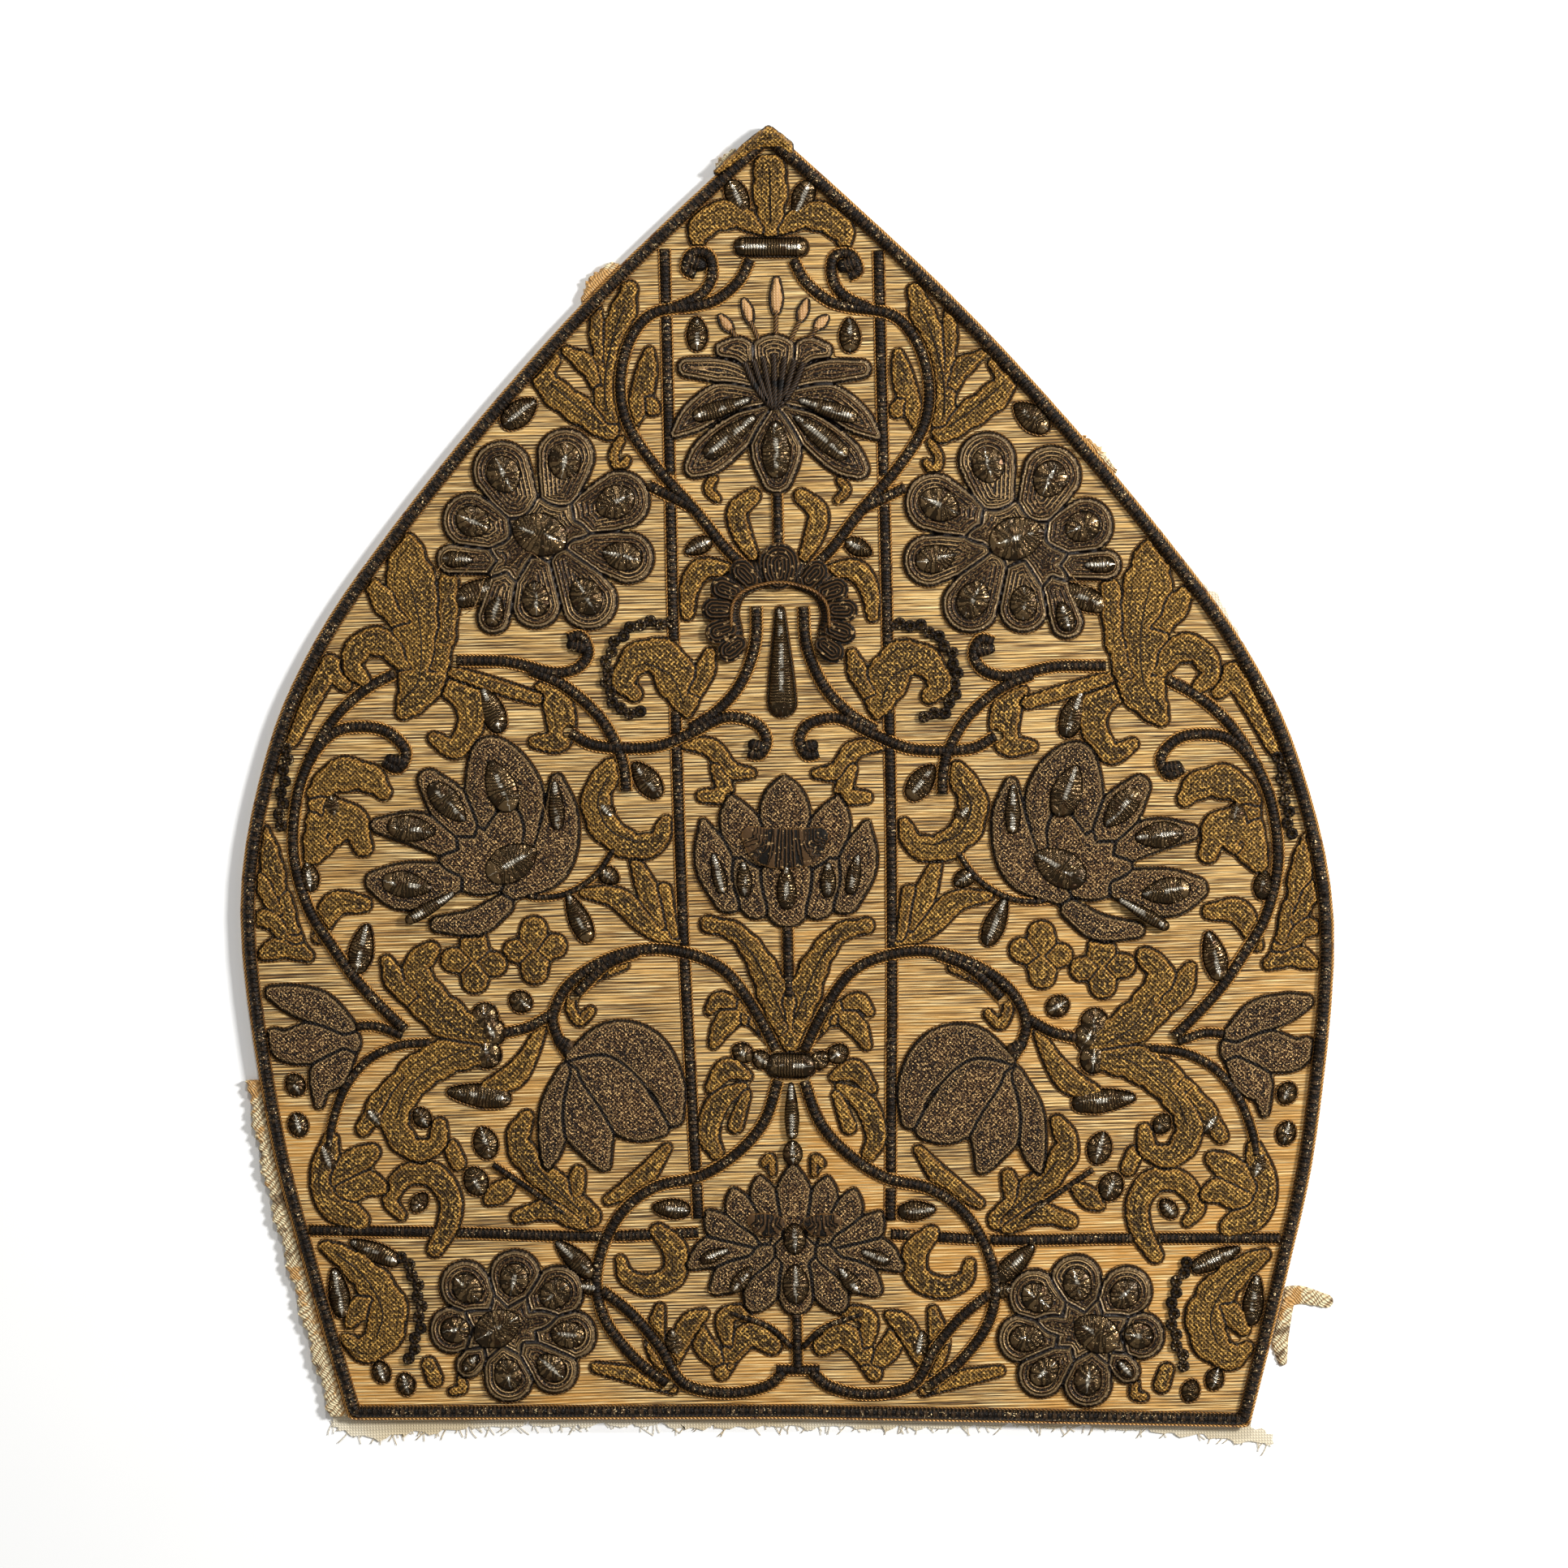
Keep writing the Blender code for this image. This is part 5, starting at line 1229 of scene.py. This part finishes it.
class MITRE_OT_lining(bpy.types.Operator):
    """Cream lining behind the panel, frayed along the hem"""

    bl_idname = "mitre.lining"
    bl_label = "Lining"

    def execute(self, context):
        sizes, colours = settings()
        panel = cloth()
        tails = fields([stroke(LINING_HEM), stroke(LINING_SIDE)], panel.x, panel.y)["depth"]
        rough = 0.0005 * np.sin(panel.x * 2100) * np.sin(panel.x * 830 + panel.y * 900)
        rough += 0.0009 * np.sin(panel.x * 540) * np.sin(panel.x * 210 + 1)
        depth = np.maximum(panel.inside + LINING_SHOW, tails + rough)
        braid = braid_depth(panel)
        depth = np.minimum(depth, -braid - CLEARANCE)
        motif = {"depth": depth, "crease": depth, "along": panel.x, "across": panel.y}
        ripple = 0.00012 * np.sin(panel.x * 260) * np.sin(panel.y * 190 + 1)
        relief = Relief()
        relief.add(panel.xs[::3], panel.ys[::3], {key: value[::3, ::3] for key, value in motif.items()},
                   (LINING_TOP - 0.00014 + ripple)[::3, ::3], 0.0)
        look = woven_look("cream plain weave", tuple(colours.lining), tone(214, 196, 160), 0.0009)
        piece = relief.make("cream_lining", look, ("lining",))
        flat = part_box("lining")
        width, length = flat[1][0] - flat[0][0], flat[1][1] - flat[0][1]
        chance = np.random.default_rng(7)
        runs = []
        hem = even(np.array(stroke(LINING_HEM))[:, :2], 0.0011, False)
        for x, y in hem:
            if chance.random() < 0.75:
                length = chance.uniform(0.001, 0.0045)
                lean = chance.uniform(-0.9, 0.9)
                steps = np.linspace(0, 1, 5)
                curl = chance.uniform(-0.6, 0.6) * length * steps ** 2
                runs.append((np.column_stack([x + lean * length * steps + curl,
                                              y - 0.001 - length * steps]), False))
        look = woven_look("frayed cream thread", tuple(colours.lining), tone(206, 184, 142), 0.0011)
        cords("lining_fray", runs, 0.00013, 0.0004, look, sides=4)
        return {"FINISHED"}


def braid_depth(panel):
    """Depth inside the braid left along the lower left edge."""
    low, high = spot(0, 0.6)[1], spot(0, 27)[1]
    outside = -panel.inside
    fray = 0.0004 * np.sin(panel.y * 1700) + 0.0005 * np.sin(panel.y * 420 + 2)
    wide = BRAID_WIDTH + fray + 0.0012 * np.clip((high - panel.y) / (high - low), 0, 1)
    band = np.minimum(CLEARANCE + wide - outside, outside - CLEARANCE)
    return np.minimum.reduce([band, -panel.x, panel.y - low, high - panel.y])


class MITRE_OT_braid(bpy.types.Operator):
    """Woven seam braid on the lower left edge and its torn end on the right"""

    bl_idname = "mitre.braid"
    bl_label = "Seam braid"

    def execute(self, context):
        sizes, colours = settings()
        panel = cloth()
        look = braid_look(colours)
        depth = braid_depth(panel)
        part = (slice(0, len(panel.xs) // 2), slice(0, len(panel.ys) // 2))
        motif = {"depth": depth[part], "crease": depth[part], "along": panel.y[part],
                 "across": panel.x[part]}
        rolls = 0.0002 * np.sin((panel.x - panel.y)[part] * 2600)
        height = GROUND_BOTTOM + 0.0012 + domed(depth[part], BRAID_TOP - GROUND_BOTTOM, 0.0016) + rolls
        relief = Relief()
        relief.add(panel.xs[part[0]], panel.ys[part[1]], motif, height, GROUND_BOTTOM)
        relief.make("seam_braid_left", look, ("galloon_left",))
        strokes = [stroke(rows) for rows in TORN_END]
        part = panel.window(strokes)
        motif = fields(strokes, panel.x[part], panel.y[part])
        shown = -panel.inside[part] - LINING_SHOW - CLEARANCE
        motif["depth"] = np.minimum(motif["depth"], shown)
        height = 0.0005 + domed(motif["depth"], 0.0007, 0.0012)
        relief = Relief()
        relief.add(panel.xs[part[0]], panel.ys[part[1]], motif, height, 0.0)
        relief.make("torn_braid_right", look, ("galloon_scrap_right",))
        relief = Relief()
        for rows in EDGE_SCRAPS:
            strokes = [stroke(rows)]
            part = panel.window(strokes)
            x, y = panel.x[part], panel.y[part]
            motif = fields(strokes, x, y)
            rough = 0.0005 * np.sin(x * 2300) * np.sin(y * 1900 + 1)
            motif["depth"] = np.minimum(motif["depth"] + rough, 0.0002 - panel.inside[part])
            height = GROUND_BOTTOM + 0.0006 + domed(motif["depth"], 0.0022, 0.0014)
            relief.add(panel.xs[part[0]], panel.ys[part[1]], motif, height, 0.0)
        relief.make("edge_scraps", look)
        return {"FINISHED"}


class MITRE_OT_ground(bpy.types.Operator):
    """Ground of laid threads over the stiff panel"""

    bl_idname = "mitre.ground"
    bl_label = "Ground"

    def execute(self, context):
        sizes, colours = settings()
        panel = cloth()
        motif = {"depth": panel.inside, "crease": panel.inside, "along": panel.x, "across": panel.y}
        swell = 0.00012 * np.sin(panel.x * 95 + 2) * np.sin(panel.y * 120)
        relief = Relief()
        step = 4
        relief.add(panel.xs[::step], panel.ys[::step],
                   {key: value[::step, ::step] for key, value in motif.items()},
                   (GROUND_TOP - 0.0001 + swell)[::step, ::step], GROUND_BOTTOM)
        relief.make("laid_ground", ground_look(sizes, colours), ("ground_panel",))
        return {"FINISHED"}


class MITRE_OT_border(bpy.types.Operator):
    """Heavy couched cord around the edge, with its edging and the knob at the tip"""

    bl_idname = "mitre.border"
    bl_label = "Border cord"

    def execute(self, context):
        sizes, colours = settings()
        panel = cloth()
        look = cord_look(sizes, colours, "border cord", 1.3)
        middle = CLEARANCE + BORDER_WIDTH / 2
        runs = self.runs(panel, middle, 0.0012)
        rise = BORDER_TOP - GROUND_TOP
        cords("worked_border", runs, 0.00170, GROUND_TOP + rise * 0.42, look, ("border_cord",),
              flatten=rise * 0.50 / 0.00170, sides=10)
        tan = edging_look(sizes, colours, "tan edging cord", tone(214, 158, 80), tone(110, 70, 30))
        cords("border_edging", self.runs(panel, 0.0002, 0.0010), sizes.edging_radius * 1.2,
              GROUND_TOP + 0.0007, tan)
        brown = edging_look(sizes, colours, "brown edging cord", tone(150, 102, 42), tone(70, 42, 16))
        cords("border_inner_edging", self.runs(panel, CLEARANCE + BORDER_WIDTH - 0.0002, 0.0010),
              sizes.edging_radius * 0.8, GROUND_TOP + 0.0003, brown)
        strokes = [stroke(rows) for rows in BOUND_TIP]
        part = panel.window(strokes)
        x, y = panel.x[part], panel.y[part]
        motif = fields(strokes, x, y)
        motif["depth"] = np.minimum(motif["depth"], panel.inside[part] + 0.0016)
        lumps = 0.0003 * np.sin(x * 1900 + 1) * np.sin(y * 1500) + 0.0002 * np.sin(x * 900 + y * 2100)
        height = GROUND_TOP + 0.0009 + domed(motif["depth"], BORDER_TOP - GROUND_TOP - 0.0004, 0.0024) + lumps
        relief = Relief()
        relief.add(panel.xs[part[0]], panel.ys[part[1]], motif, height, GROUND_TOP - SINK)
        rust = leaf_look(sizes, colours, "rusty bound tip", 1.5)
        relief.make("worked_apex_knob", rust, ("apex_knob",))
        return {"FINISHED"}

    def runs(self, panel, inset, spacing):
        loops = trace(panel.inside - inset, panel.xs, panel.ys)
        loop = max(loops, key=len)
        return [(even(loop, spacing, True), True)]


class MITRE_OT_bars(bpy.types.Operator):
    """Straight couched bars under the scrolls"""

    bl_idname = "mitre.bars"
    bl_label = "Bars"

    def execute(self, context):
        sizes, colours = settings()
        panel = cloth()
        look = cord_look(sizes, colours, "bar cord", 1.0)
        brown = edging_look(sizes, colours, "bar edging", tone(190, 136, 64), tone(92, 58, 22))
        for side, turn in (("left", tuple), ("right", mirrored)):
            edges = []
            for name, rows in (("base_bar_", BASE_BAR), ("bar_", BAR)):
                path = np.array(stroke(turn((rows,))[0], BAR_WIDTH))[:, :2]
                points = even(path, 0.0010, False)
                keep = panel.sample(panel.laid, points) > -0.0002
                inside = panel.sample(panel.inside, points) > BORDER_WIDTH
                runs = kept_runs(points, False, keep & inside)
                rise = BAR_TOP - GROUND_TOP
                cords("worked_" + name + side, runs, 0.00150, GROUND_TOP + rise * 0.3, look,
                      (name + side,), flatten=rise * 0.8 / 0.00150, sides=8)
                for away in (-0.00178, 0.00178):
                    beside = offset(points, away)
                    free = (panel.sample(panel.laid, beside) > 0) & inside
                    edges += kept_runs(beside, False, free)
            cords("bar_edging_" + side, edges, 0.0003, GROUND_TOP + 0.0002, brown, sides=4)
        return {"FINISHED"}


class MITRE_OT_stems(bpy.types.Operator):
    """Couched scroll stems with an edging on both sides"""

    bl_idname = "mitre.stems"
    bl_label = "Scroll stems"

    def execute(self, context):
        sizes, colours = settings()
        panel = cloth()
        look = cord_look(sizes, colours, "stem cord", 1.0)
        brown = edging_look(sizes, colours, "stem edging", tone(206, 150, 72), tone(110, 70, 28))
        rise = STEM_TOP - GROUND_TOP
        groups = [(name + "_" + side, turn(rows), STEM_WIDTH) for name, rows in PIECES["stems"]
                  for side, turn in (("left", tuple), ("right", mirrored))]
        groups.append(("lotus_stem", LOTUS_STEM, STEM_WIDTH))
        groups.append(("middle_stem", MIDDLE_STEMS, STEM_WIDTH * 0.9))
        groups.append(("wide_stems", both_sides(WIDE_STEMS), STEM_WIDTH * 0.85))
        thin = THIN_STEMS + mirrored(THIN_STEMS)
        groups.append(("thin_stems", thin, STEM_WIDTH * 0.6))
        others = self.others(panel)
        for name, table, width in groups:
            share = width / STEM_WIDTH
            bands = []
            edges = []
            for rows in table:
                points = even(np.array(stroke(rows, width))[:, :2], 0.0009, False)
                free = panel.sample(others, points) > -0.0006
                inside = panel.sample(panel.inside, points) > BORDER_WIDTH
                bands += kept_runs(points, False, free & inside)
                for away in (-0.00180 * share, 0.00180 * share):
                    beside = offset(points, away)
                    free = panel.sample(others, beside) > -0.0003
                    edges += kept_runs(beside, False, free & inside)
            nodes = (name,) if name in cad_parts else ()
            radius = sizes.stem_radius * share
            cords("worked_" + name, bands, radius, GROUND_TOP + rise * 0.4, look, nodes,
                  flatten=rise * 0.5 / radius, sides=8)
            cords(name + "_edging", edges, 0.00034, GROUND_TOP + 0.0004, brown)
        return {"FINISHED"}

    def others(self, panel):
        """Distance to the flowers, large leaves and ties, which stems go under."""
        away = np.full(panel.x.shape, PANEL_HEIGHT)
        names = [name for name, _ in PIECES["middle flowers"]] + sided(PIECES["side flowers"])
        for name in names + sided(PIECES["large leaves"]):
            motif = panel.fields[name]
            away[motif["part"]] = np.minimum(away[motif["part"]], -motif["depth"])
        return away


class MITRE_OT_leaves(bpy.types.Operator):
    """Gilt leaves with a lattice of couching stitches"""

    bl_idname = "mitre.leaves"
    bl_label = "Leaves"

    def execute(self, context):
        sizes, colours = settings()
        look = leaf_look(sizes, colours)
        rise = LEAF_TOP - GROUND_TOP
        names = [name for name, _ in PIECES["middle leaves"]]
        names += sided(PIECES["large leaves"]) + sided(PIECES["side leaves"])
        for name in names:
            make_motif(name, rise * 0.85, 0.0016, look, (name,))
        for side in ("left", "right"):
            relief = Relief()
            for number in range(1, len(SMALL_LEAVES) + 1):
                raise_motif(relief, f"small_leaf_{number}_{side}", rise * 0.75, 0.0014)
            relief.make("worked_small_leaves_" + side, look)
        return {"FINISHED"}


class MITRE_OT_flowers(bpy.types.Operator):
    """Padded silver flowers"""

    bl_idname = "mitre.flowers"
    bl_label = "Flowers"

    def execute(self, context):
        sizes, colours = settings()
        ringed = petal_look(sizes, colours, True)
        plain = petal_look(sizes, colours, False)
        dark = cord_look(sizes, colours, "collar cord", 0.6)
        rise = FLOWER_TOP - GROUND_TOP
        names = [name for name, _ in PIECES["middle flowers"]] + sided(PIECES["side flowers"])
        for name in names:
            look = ringed if "rosette" in name or name == "lily" else plain
            look = dark if name == "shell_collar" else look
            make_motif(name, rise * 0.8, 0.0022, look, (name,))
        return {"FINISHED"}


class MITRE_OT_pads(bpy.types.Operator):
    """Pads of coiled wire, on the ground and on the flowers, and the small chains"""

    bl_idname = "mitre.pads"
    bl_label = "Purl pads and chains"

    def execute(self, context):
        sizes, colours = settings()
        look = purl_look(sizes, colours)
        rise = STEM_TOP - GROUND_TOP
        for name in ("crest_tie", "knot", "centre_drop"):
            make_motif(name, rise, 0.0026, look, (name,))
        tan = edging_look(sizes, colours, "pad edging", tone(150, 106, 50), tone(60, 38, 14))
        rims = []
        for side, turn in (("left", tuple), ("right", mirrored)):
            relief = Relief()
            for pad in PADS:
                rows = turn((purl_rows((*pad[:4], pad[4] * 1.2)),))[0]
                rims += self.pad(relief, rows, GROUND_TOP, 0.0019)
            for pad in self.flower_pads():
                self.pad(relief, turn((pad,))[0], GROUND_TOP + 0.0022, 0.0014)
            relief.make("purl_pads_" + side, look)
            relief = Relief()
            for rows in turn(CHAINS):
                self.chain(relief, rows)
            relief.make("chains_" + side, cord_look(sizes, colours, "chain loops", 0.5))
        relief = Relief()
        for rows in both_sides(CURL_ENDS):
            self.pad(relief, rows, GROUND_TOP + 0.0004, 0.0017)
        relief.make("curl_ends", cord_look(sizes, colours, "curl cord", 0.6))
        relief = Relief()
        for pad in MIDDLE_PADS:
            low = GROUND_TOP + (0.0022 if pad[1] in (77.4, 14.8, 11.6, 42.8) else 0.0008)
            self.pad(relief, purl_rows(pad), low, 0.0018)
        relief.make("purl_pads_middle", look)
        relief = Relief()
        for across, up in FAN + tuple((-a, u) for a, u in FAN[:-1]):
            turn = math.atan2((up - 62.6) * 4, across * 1.7)
            a, u = math.cos(turn) / 1.7, math.sin(turn) / 4
            wide = 1.7 if across == 0 else 1.0
            rows = ((across - a * 1.2, up - u * 1.2, 3.4 * wide), (across + a * 0.6, up + u * 0.6, 4.2 * wide),
                    (across + a * 2.4, up + u * 2.4, 4.4 * wide))
            self.pad(relief, rows, GROUND_TOP + 0.0016, 0.0016)
        relief.make("collar_fan", hatch_look("radial stitches", "across"))
        relief = Relief()
        for rows in HATCHES:
            self.pad(relief, rows, GROUND_TOP + 0.0030, 0.0005)
        relief.make("lotus_hatching", hatch_look("upright stitches", "along"))
        cords("pad_edging", rims, 0.00032, GROUND_TOP + 0.0004, tan, sides=4)
        return {"FINISHED"}

    def flower_pads(self):
        """Rows of the pads on flowers, one in every petal of a rosette."""
        pads = [purl_rows(pad) for pad in FLOWER_PADS]
        for rows in UPPER_ROSETTE[1:] + LOWER_ROSETTE[1:]:
            (a, b, _), (c, d, wide) = rows
            pads.append(purl_rows((a + (c - a) * 0.55, b + (d - b) * 0.55, c + (c - a) * 0.1,
                                   d + (d - b) * 0.1, wide * 0.46)))
        return pads

    def pad(self, relief, rows, low, rise):
        strokes = [stroke(rows)]
        xs, ys = grid_patch(strokes, PAD_STEP)
        x, y = np.meshgrid(xs, ys, indexing="ij")
        motif = fields(strokes, x, y)
        deep = max(float(motif["depth"].max()), PAD_STEP)
        height = low + 0.0003 + domed(motif["depth"], rise, deep)
        relief.add(xs, ys, motif, height, GROUND_TOP - SINK)
        loops = trace(motif["depth"] + 0.0003, xs, ys)
        return [(even(loop, 0.0009, True), True) for loop in loops if len(loop) > 8]

    def chain(self, relief, rows):
        points = even(np.array(smooth([spot(*row) for row in rows])), 0.0031, False)
        way = np.gradient(points, axis=0)
        way /= np.hypot(*way.T)[:, None]
        for number, ((x, y), (dx, dy)) in enumerate(zip(points, way)):
            aside = 0.0005 if number % 2 else -0.0005
            x, y = x - dy * aside, y + dx * aside
            xs, ys = grid_patch([[(x, y, 0.0021)]], PAD_STEP * 0.8)
            gx, gy = np.meshgrid(xs, ys, indexing="ij")
            away = np.hypot(gx - x, gy - y)
            depth = 0.00065 - np.abs(away - 0.00125)
            around = np.arctan2(gy - y, gx - x) * 0.00125
            motif = {"depth": depth, "crease": depth, "along": around, "across": away - 0.00125}
            height = GROUND_TOP + 0.0004 + domed(depth, 0.0013, 0.0006)
            relief.add(xs, ys, motif, height, GROUND_TOP - SINK)


class MITRE_OT_outlines(bpy.types.Operator):
    """Thin dark cord and gold thread around every leaf, flower and pad"""

    bl_idname = "mitre.outlines"
    bl_label = "Outline cords"

    def execute(self, context):
        sizes, colours = settings()
        panel = cloth()
        dark = edging_look(sizes, colours, "dark outline cord", tone(58, 40, 20), tone(14, 9, 4))
        gold = edging_look(sizes, colours, "gold outline thread", tuple(colours.bright), tone(92, 60, 26))
        middle = [name for name, _ in PIECES["middle flowers"] + PIECES["middle leaves"] + PIECES["ties"]]
        pairs = PIECES["side flowers"] + PIECES["large leaves"] + PIECES["side leaves"]
        groups = {"middle": middle}
        for side in ("left", "right"):
            groups["flowers_" + side] = [n + "_" + side for n, _ in PIECES["side flowers"]]
            groups["leaves_" + side] = [n + "_" + side for n, _ in pairs if n not in dict(PIECES["side flowers"])]
            groups["small_" + side] = [f"small_leaf_{k}_{side}" for k in range(1, len(SMALL_LEAVES) + 1)]
        for group, names in groups.items():
            inner = []
            outer = []
            for name in names:
                inner += outline_runs(name, 0.0, 0.0011)
                outer += outline_runs(name, -0.0006, 0.0012)
            cords("outline_" + group, inner, sizes.outline_radius, GROUND_TOP + 0.0005, dark)
            cords("gold_line_" + group, outer, sizes.gold_radius, GROUND_TOP + 0.0002, gold,
                  sides=4)
        veins = []
        for rows in VEINS + mirrored(VEINS):
            points = even(np.array(smooth([spot(*row) for row in rows])), 0.0010, False)
            veins.append((points, False))
        cords("leaf_veins", veins, 0.00034, LEAF_TOP - 0.0002, dark, sides=4)
        loose = [(even(np.array(smooth([spot(*row) for row in rows])), 0.0009, False), False)
                 for rows in LOOSE_THREADS]
        straw = edging_look(sizes, colours, "worn loose thread", tone(190, 150, 92), tone(96, 66, 34))
        cords("loose_threads", loose, 0.00016, FLOWER_TOP + 0.0001, straw, sides=4)
        arch = even(np.array(smooth([spot(*row) for row in COLLAR_ARCH])), 0.0010, False)
        lines = [(arch, False)]
        for rows in STAMENS:
            lines.append((even(np.array(smooth([spot(*row) for row in rows])), 0.0008, False), False))
        tan = edging_look(sizes, colours, "stamen thread", tone(128, 92, 48), tone(30, 18, 8))
        cords("stamens", lines[1:], 0.0008, GROUND_TOP + 0.0006, tan)
        ribs = [(even(np.array(smooth([spot(*row) for row in rows])), 0.0010, False), False)
                for rows in both_sides(LILY_RIBS)]
        bark = edging_look(sizes, colours, "lily rib cord", tone(66, 48, 30), tone(12, 7, 3))
        cords("lily_ribs", ribs, 0.0011, FLOWER_TOP - 0.0003, bark)
        cords("collar_arch", lines[:1], 0.0005, FLOWER_TOP + 0.0002, gold)
        relief = Relief()
        rims = []
        for rows in BUDS:
            strokes = [stroke(rows)]
            xs, ys = grid_patch(strokes, PAD_STEP)
            x, y = np.meshgrid(xs, ys, indexing="ij")
            motif = fields(strokes, x, y)
            motif["depth"] = motif["depth"] - 0.0004
            relief.add(xs, ys, motif, GROUND_TOP + 0.0003 + domed(motif["depth"], 0.0010, 0.0014),
                       GROUND_TOP - SINK)
            rims += [(even(loop, 0.0008, True), True) for loop in trace(motif["depth"] + 0.0003, xs, ys)]
        pale = woven_look("pale silk bud", tone(206, 160, 104), tone(150, 104, 58), 0.0009, 0.5)
        relief.make("lily_buds", pale)
        cords("bud_outlines", rims, 0.00045, GROUND_TOP + 0.0006, dark, sides=4)
        return {"FINISHED"}


class MITRE_OT_stage(bpy.types.Operator):
    """Pale floor, soft light from the right and the camera straight above"""

    bl_idname = "mitre.stage"
    bl_label = "Stage"

    def execute(self, context):
        sizes, colours = settings()
        scene = context.scene
        mesh = bpy.data.meshes.new("pale_floor")
        work = bmesh.new()
        bmesh.ops.create_grid(work, x_segments=1, y_segments=1, size=3.0)
        work.to_mesh(mesh)
        work.free()
        mesh.materials.append(floor_look(colours))
        floor = bpy.data.objects.new("pale_floor", mesh)
        scene.collection.objects.link(floor)
        world = bpy.data.worlds.new("soft studio")
        world.use_nodes = True
        world.node_tree.nodes["Background"].inputs["Color"].default_value = (1, 0.99, 0.975, 1)
        world.node_tree.nodes["Background"].inputs["Strength"].default_value = 0.34
        scene.world = world
        scene.view_settings.view_transform = "Standard"
        self.lamp("soft light right", (1.0, 0.30, 1.1), 0.26, 25.0)
        self.lamp("small light top", (-0.1, 0.9, 1.1), 0.10, 6.0)
        camera = bpy.data.cameras.new("camera above")
        camera.lens = 150
        camera.clip_end = 20
        eye = bpy.data.objects.new("camera above", camera)
        low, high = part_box("ground_panel")
        middle = ((low[0] + high[0]) / 2, (low[1] + high[1]) / 2)
        eye.location = (middle[0], middle[1], 2.04)
        eye.rotation_euler = (0, 0, -0.0236)
        scene.collection.objects.link(eye)
        scene.camera = eye
        return {"FINISHED"}

    def lamp(self, name, place, size, power):
        light = bpy.data.lights.new(name, "AREA")
        light.shape = "SQUARE"
        light.size = size
        light.energy = power
        holder = bpy.data.objects.new(name, light)
        holder.location = place
        holder.rotation_mode = "QUATERNION"
        holder.rotation_quaternion = holder.location.to_track_quat("Z", "Y")
        bpy.context.scene.collection.objects.link(holder)


STEPS = (MITRE_OT_lining, MITRE_OT_braid, MITRE_OT_ground, MITRE_OT_border, MITRE_OT_bars, MITRE_OT_stems,
         MITRE_OT_leaves, MITRE_OT_flowers, MITRE_OT_pads, MITRE_OT_outlines, MITRE_OT_stage)


class MITRE_PT_panel(bpy.types.Panel):
    """Steps and settings of the mitre panel"""

    bl_idname = "MITRE_PT_panel"
    bl_label = "Embroidered mitre"
    bl_space_type = "VIEW_3D"
    bl_region_type = "UI"
    bl_category = "Mitre"

    def draw(self, context):
        scene = context.scene
        for group in (scene.mitre_sizes, scene.mitre_colours):
            for name in group.__annotations__:
                self.layout.prop(group, name)
        for step in STEPS:
            self.layout.operator(step.bl_idname)


CLASSES = (MitreSizes, MitreColours) + STEPS + (MITRE_PT_panel,)


def register():
    for item in CLASSES:
        bpy.utils.register_class(item)
    bpy.types.Scene.mitre_sizes = PointerProperty(type=MitreSizes)
    bpy.types.Scene.mitre_colours = PointerProperty(type=MitreColours)


def unregister():
    del bpy.types.Scene.mitre_colours
    del bpy.types.Scene.mitre_sizes
    for item in reversed(CLASSES):
        bpy.utils.unregister_class(item)


def main():
    register()
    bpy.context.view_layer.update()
    bpy.ops.mitre.lining()
    bpy.ops.mitre.braid()
    bpy.ops.mitre.ground()
    bpy.ops.mitre.border()
    bpy.ops.mitre.bars()
    bpy.ops.mitre.stems()
    bpy.ops.mitre.leaves()
    bpy.ops.mitre.flowers()
    bpy.ops.mitre.pads()
    bpy.ops.mitre.outlines()
    bpy.ops.mitre.stage()


if __name__ == "__main__":
    main()
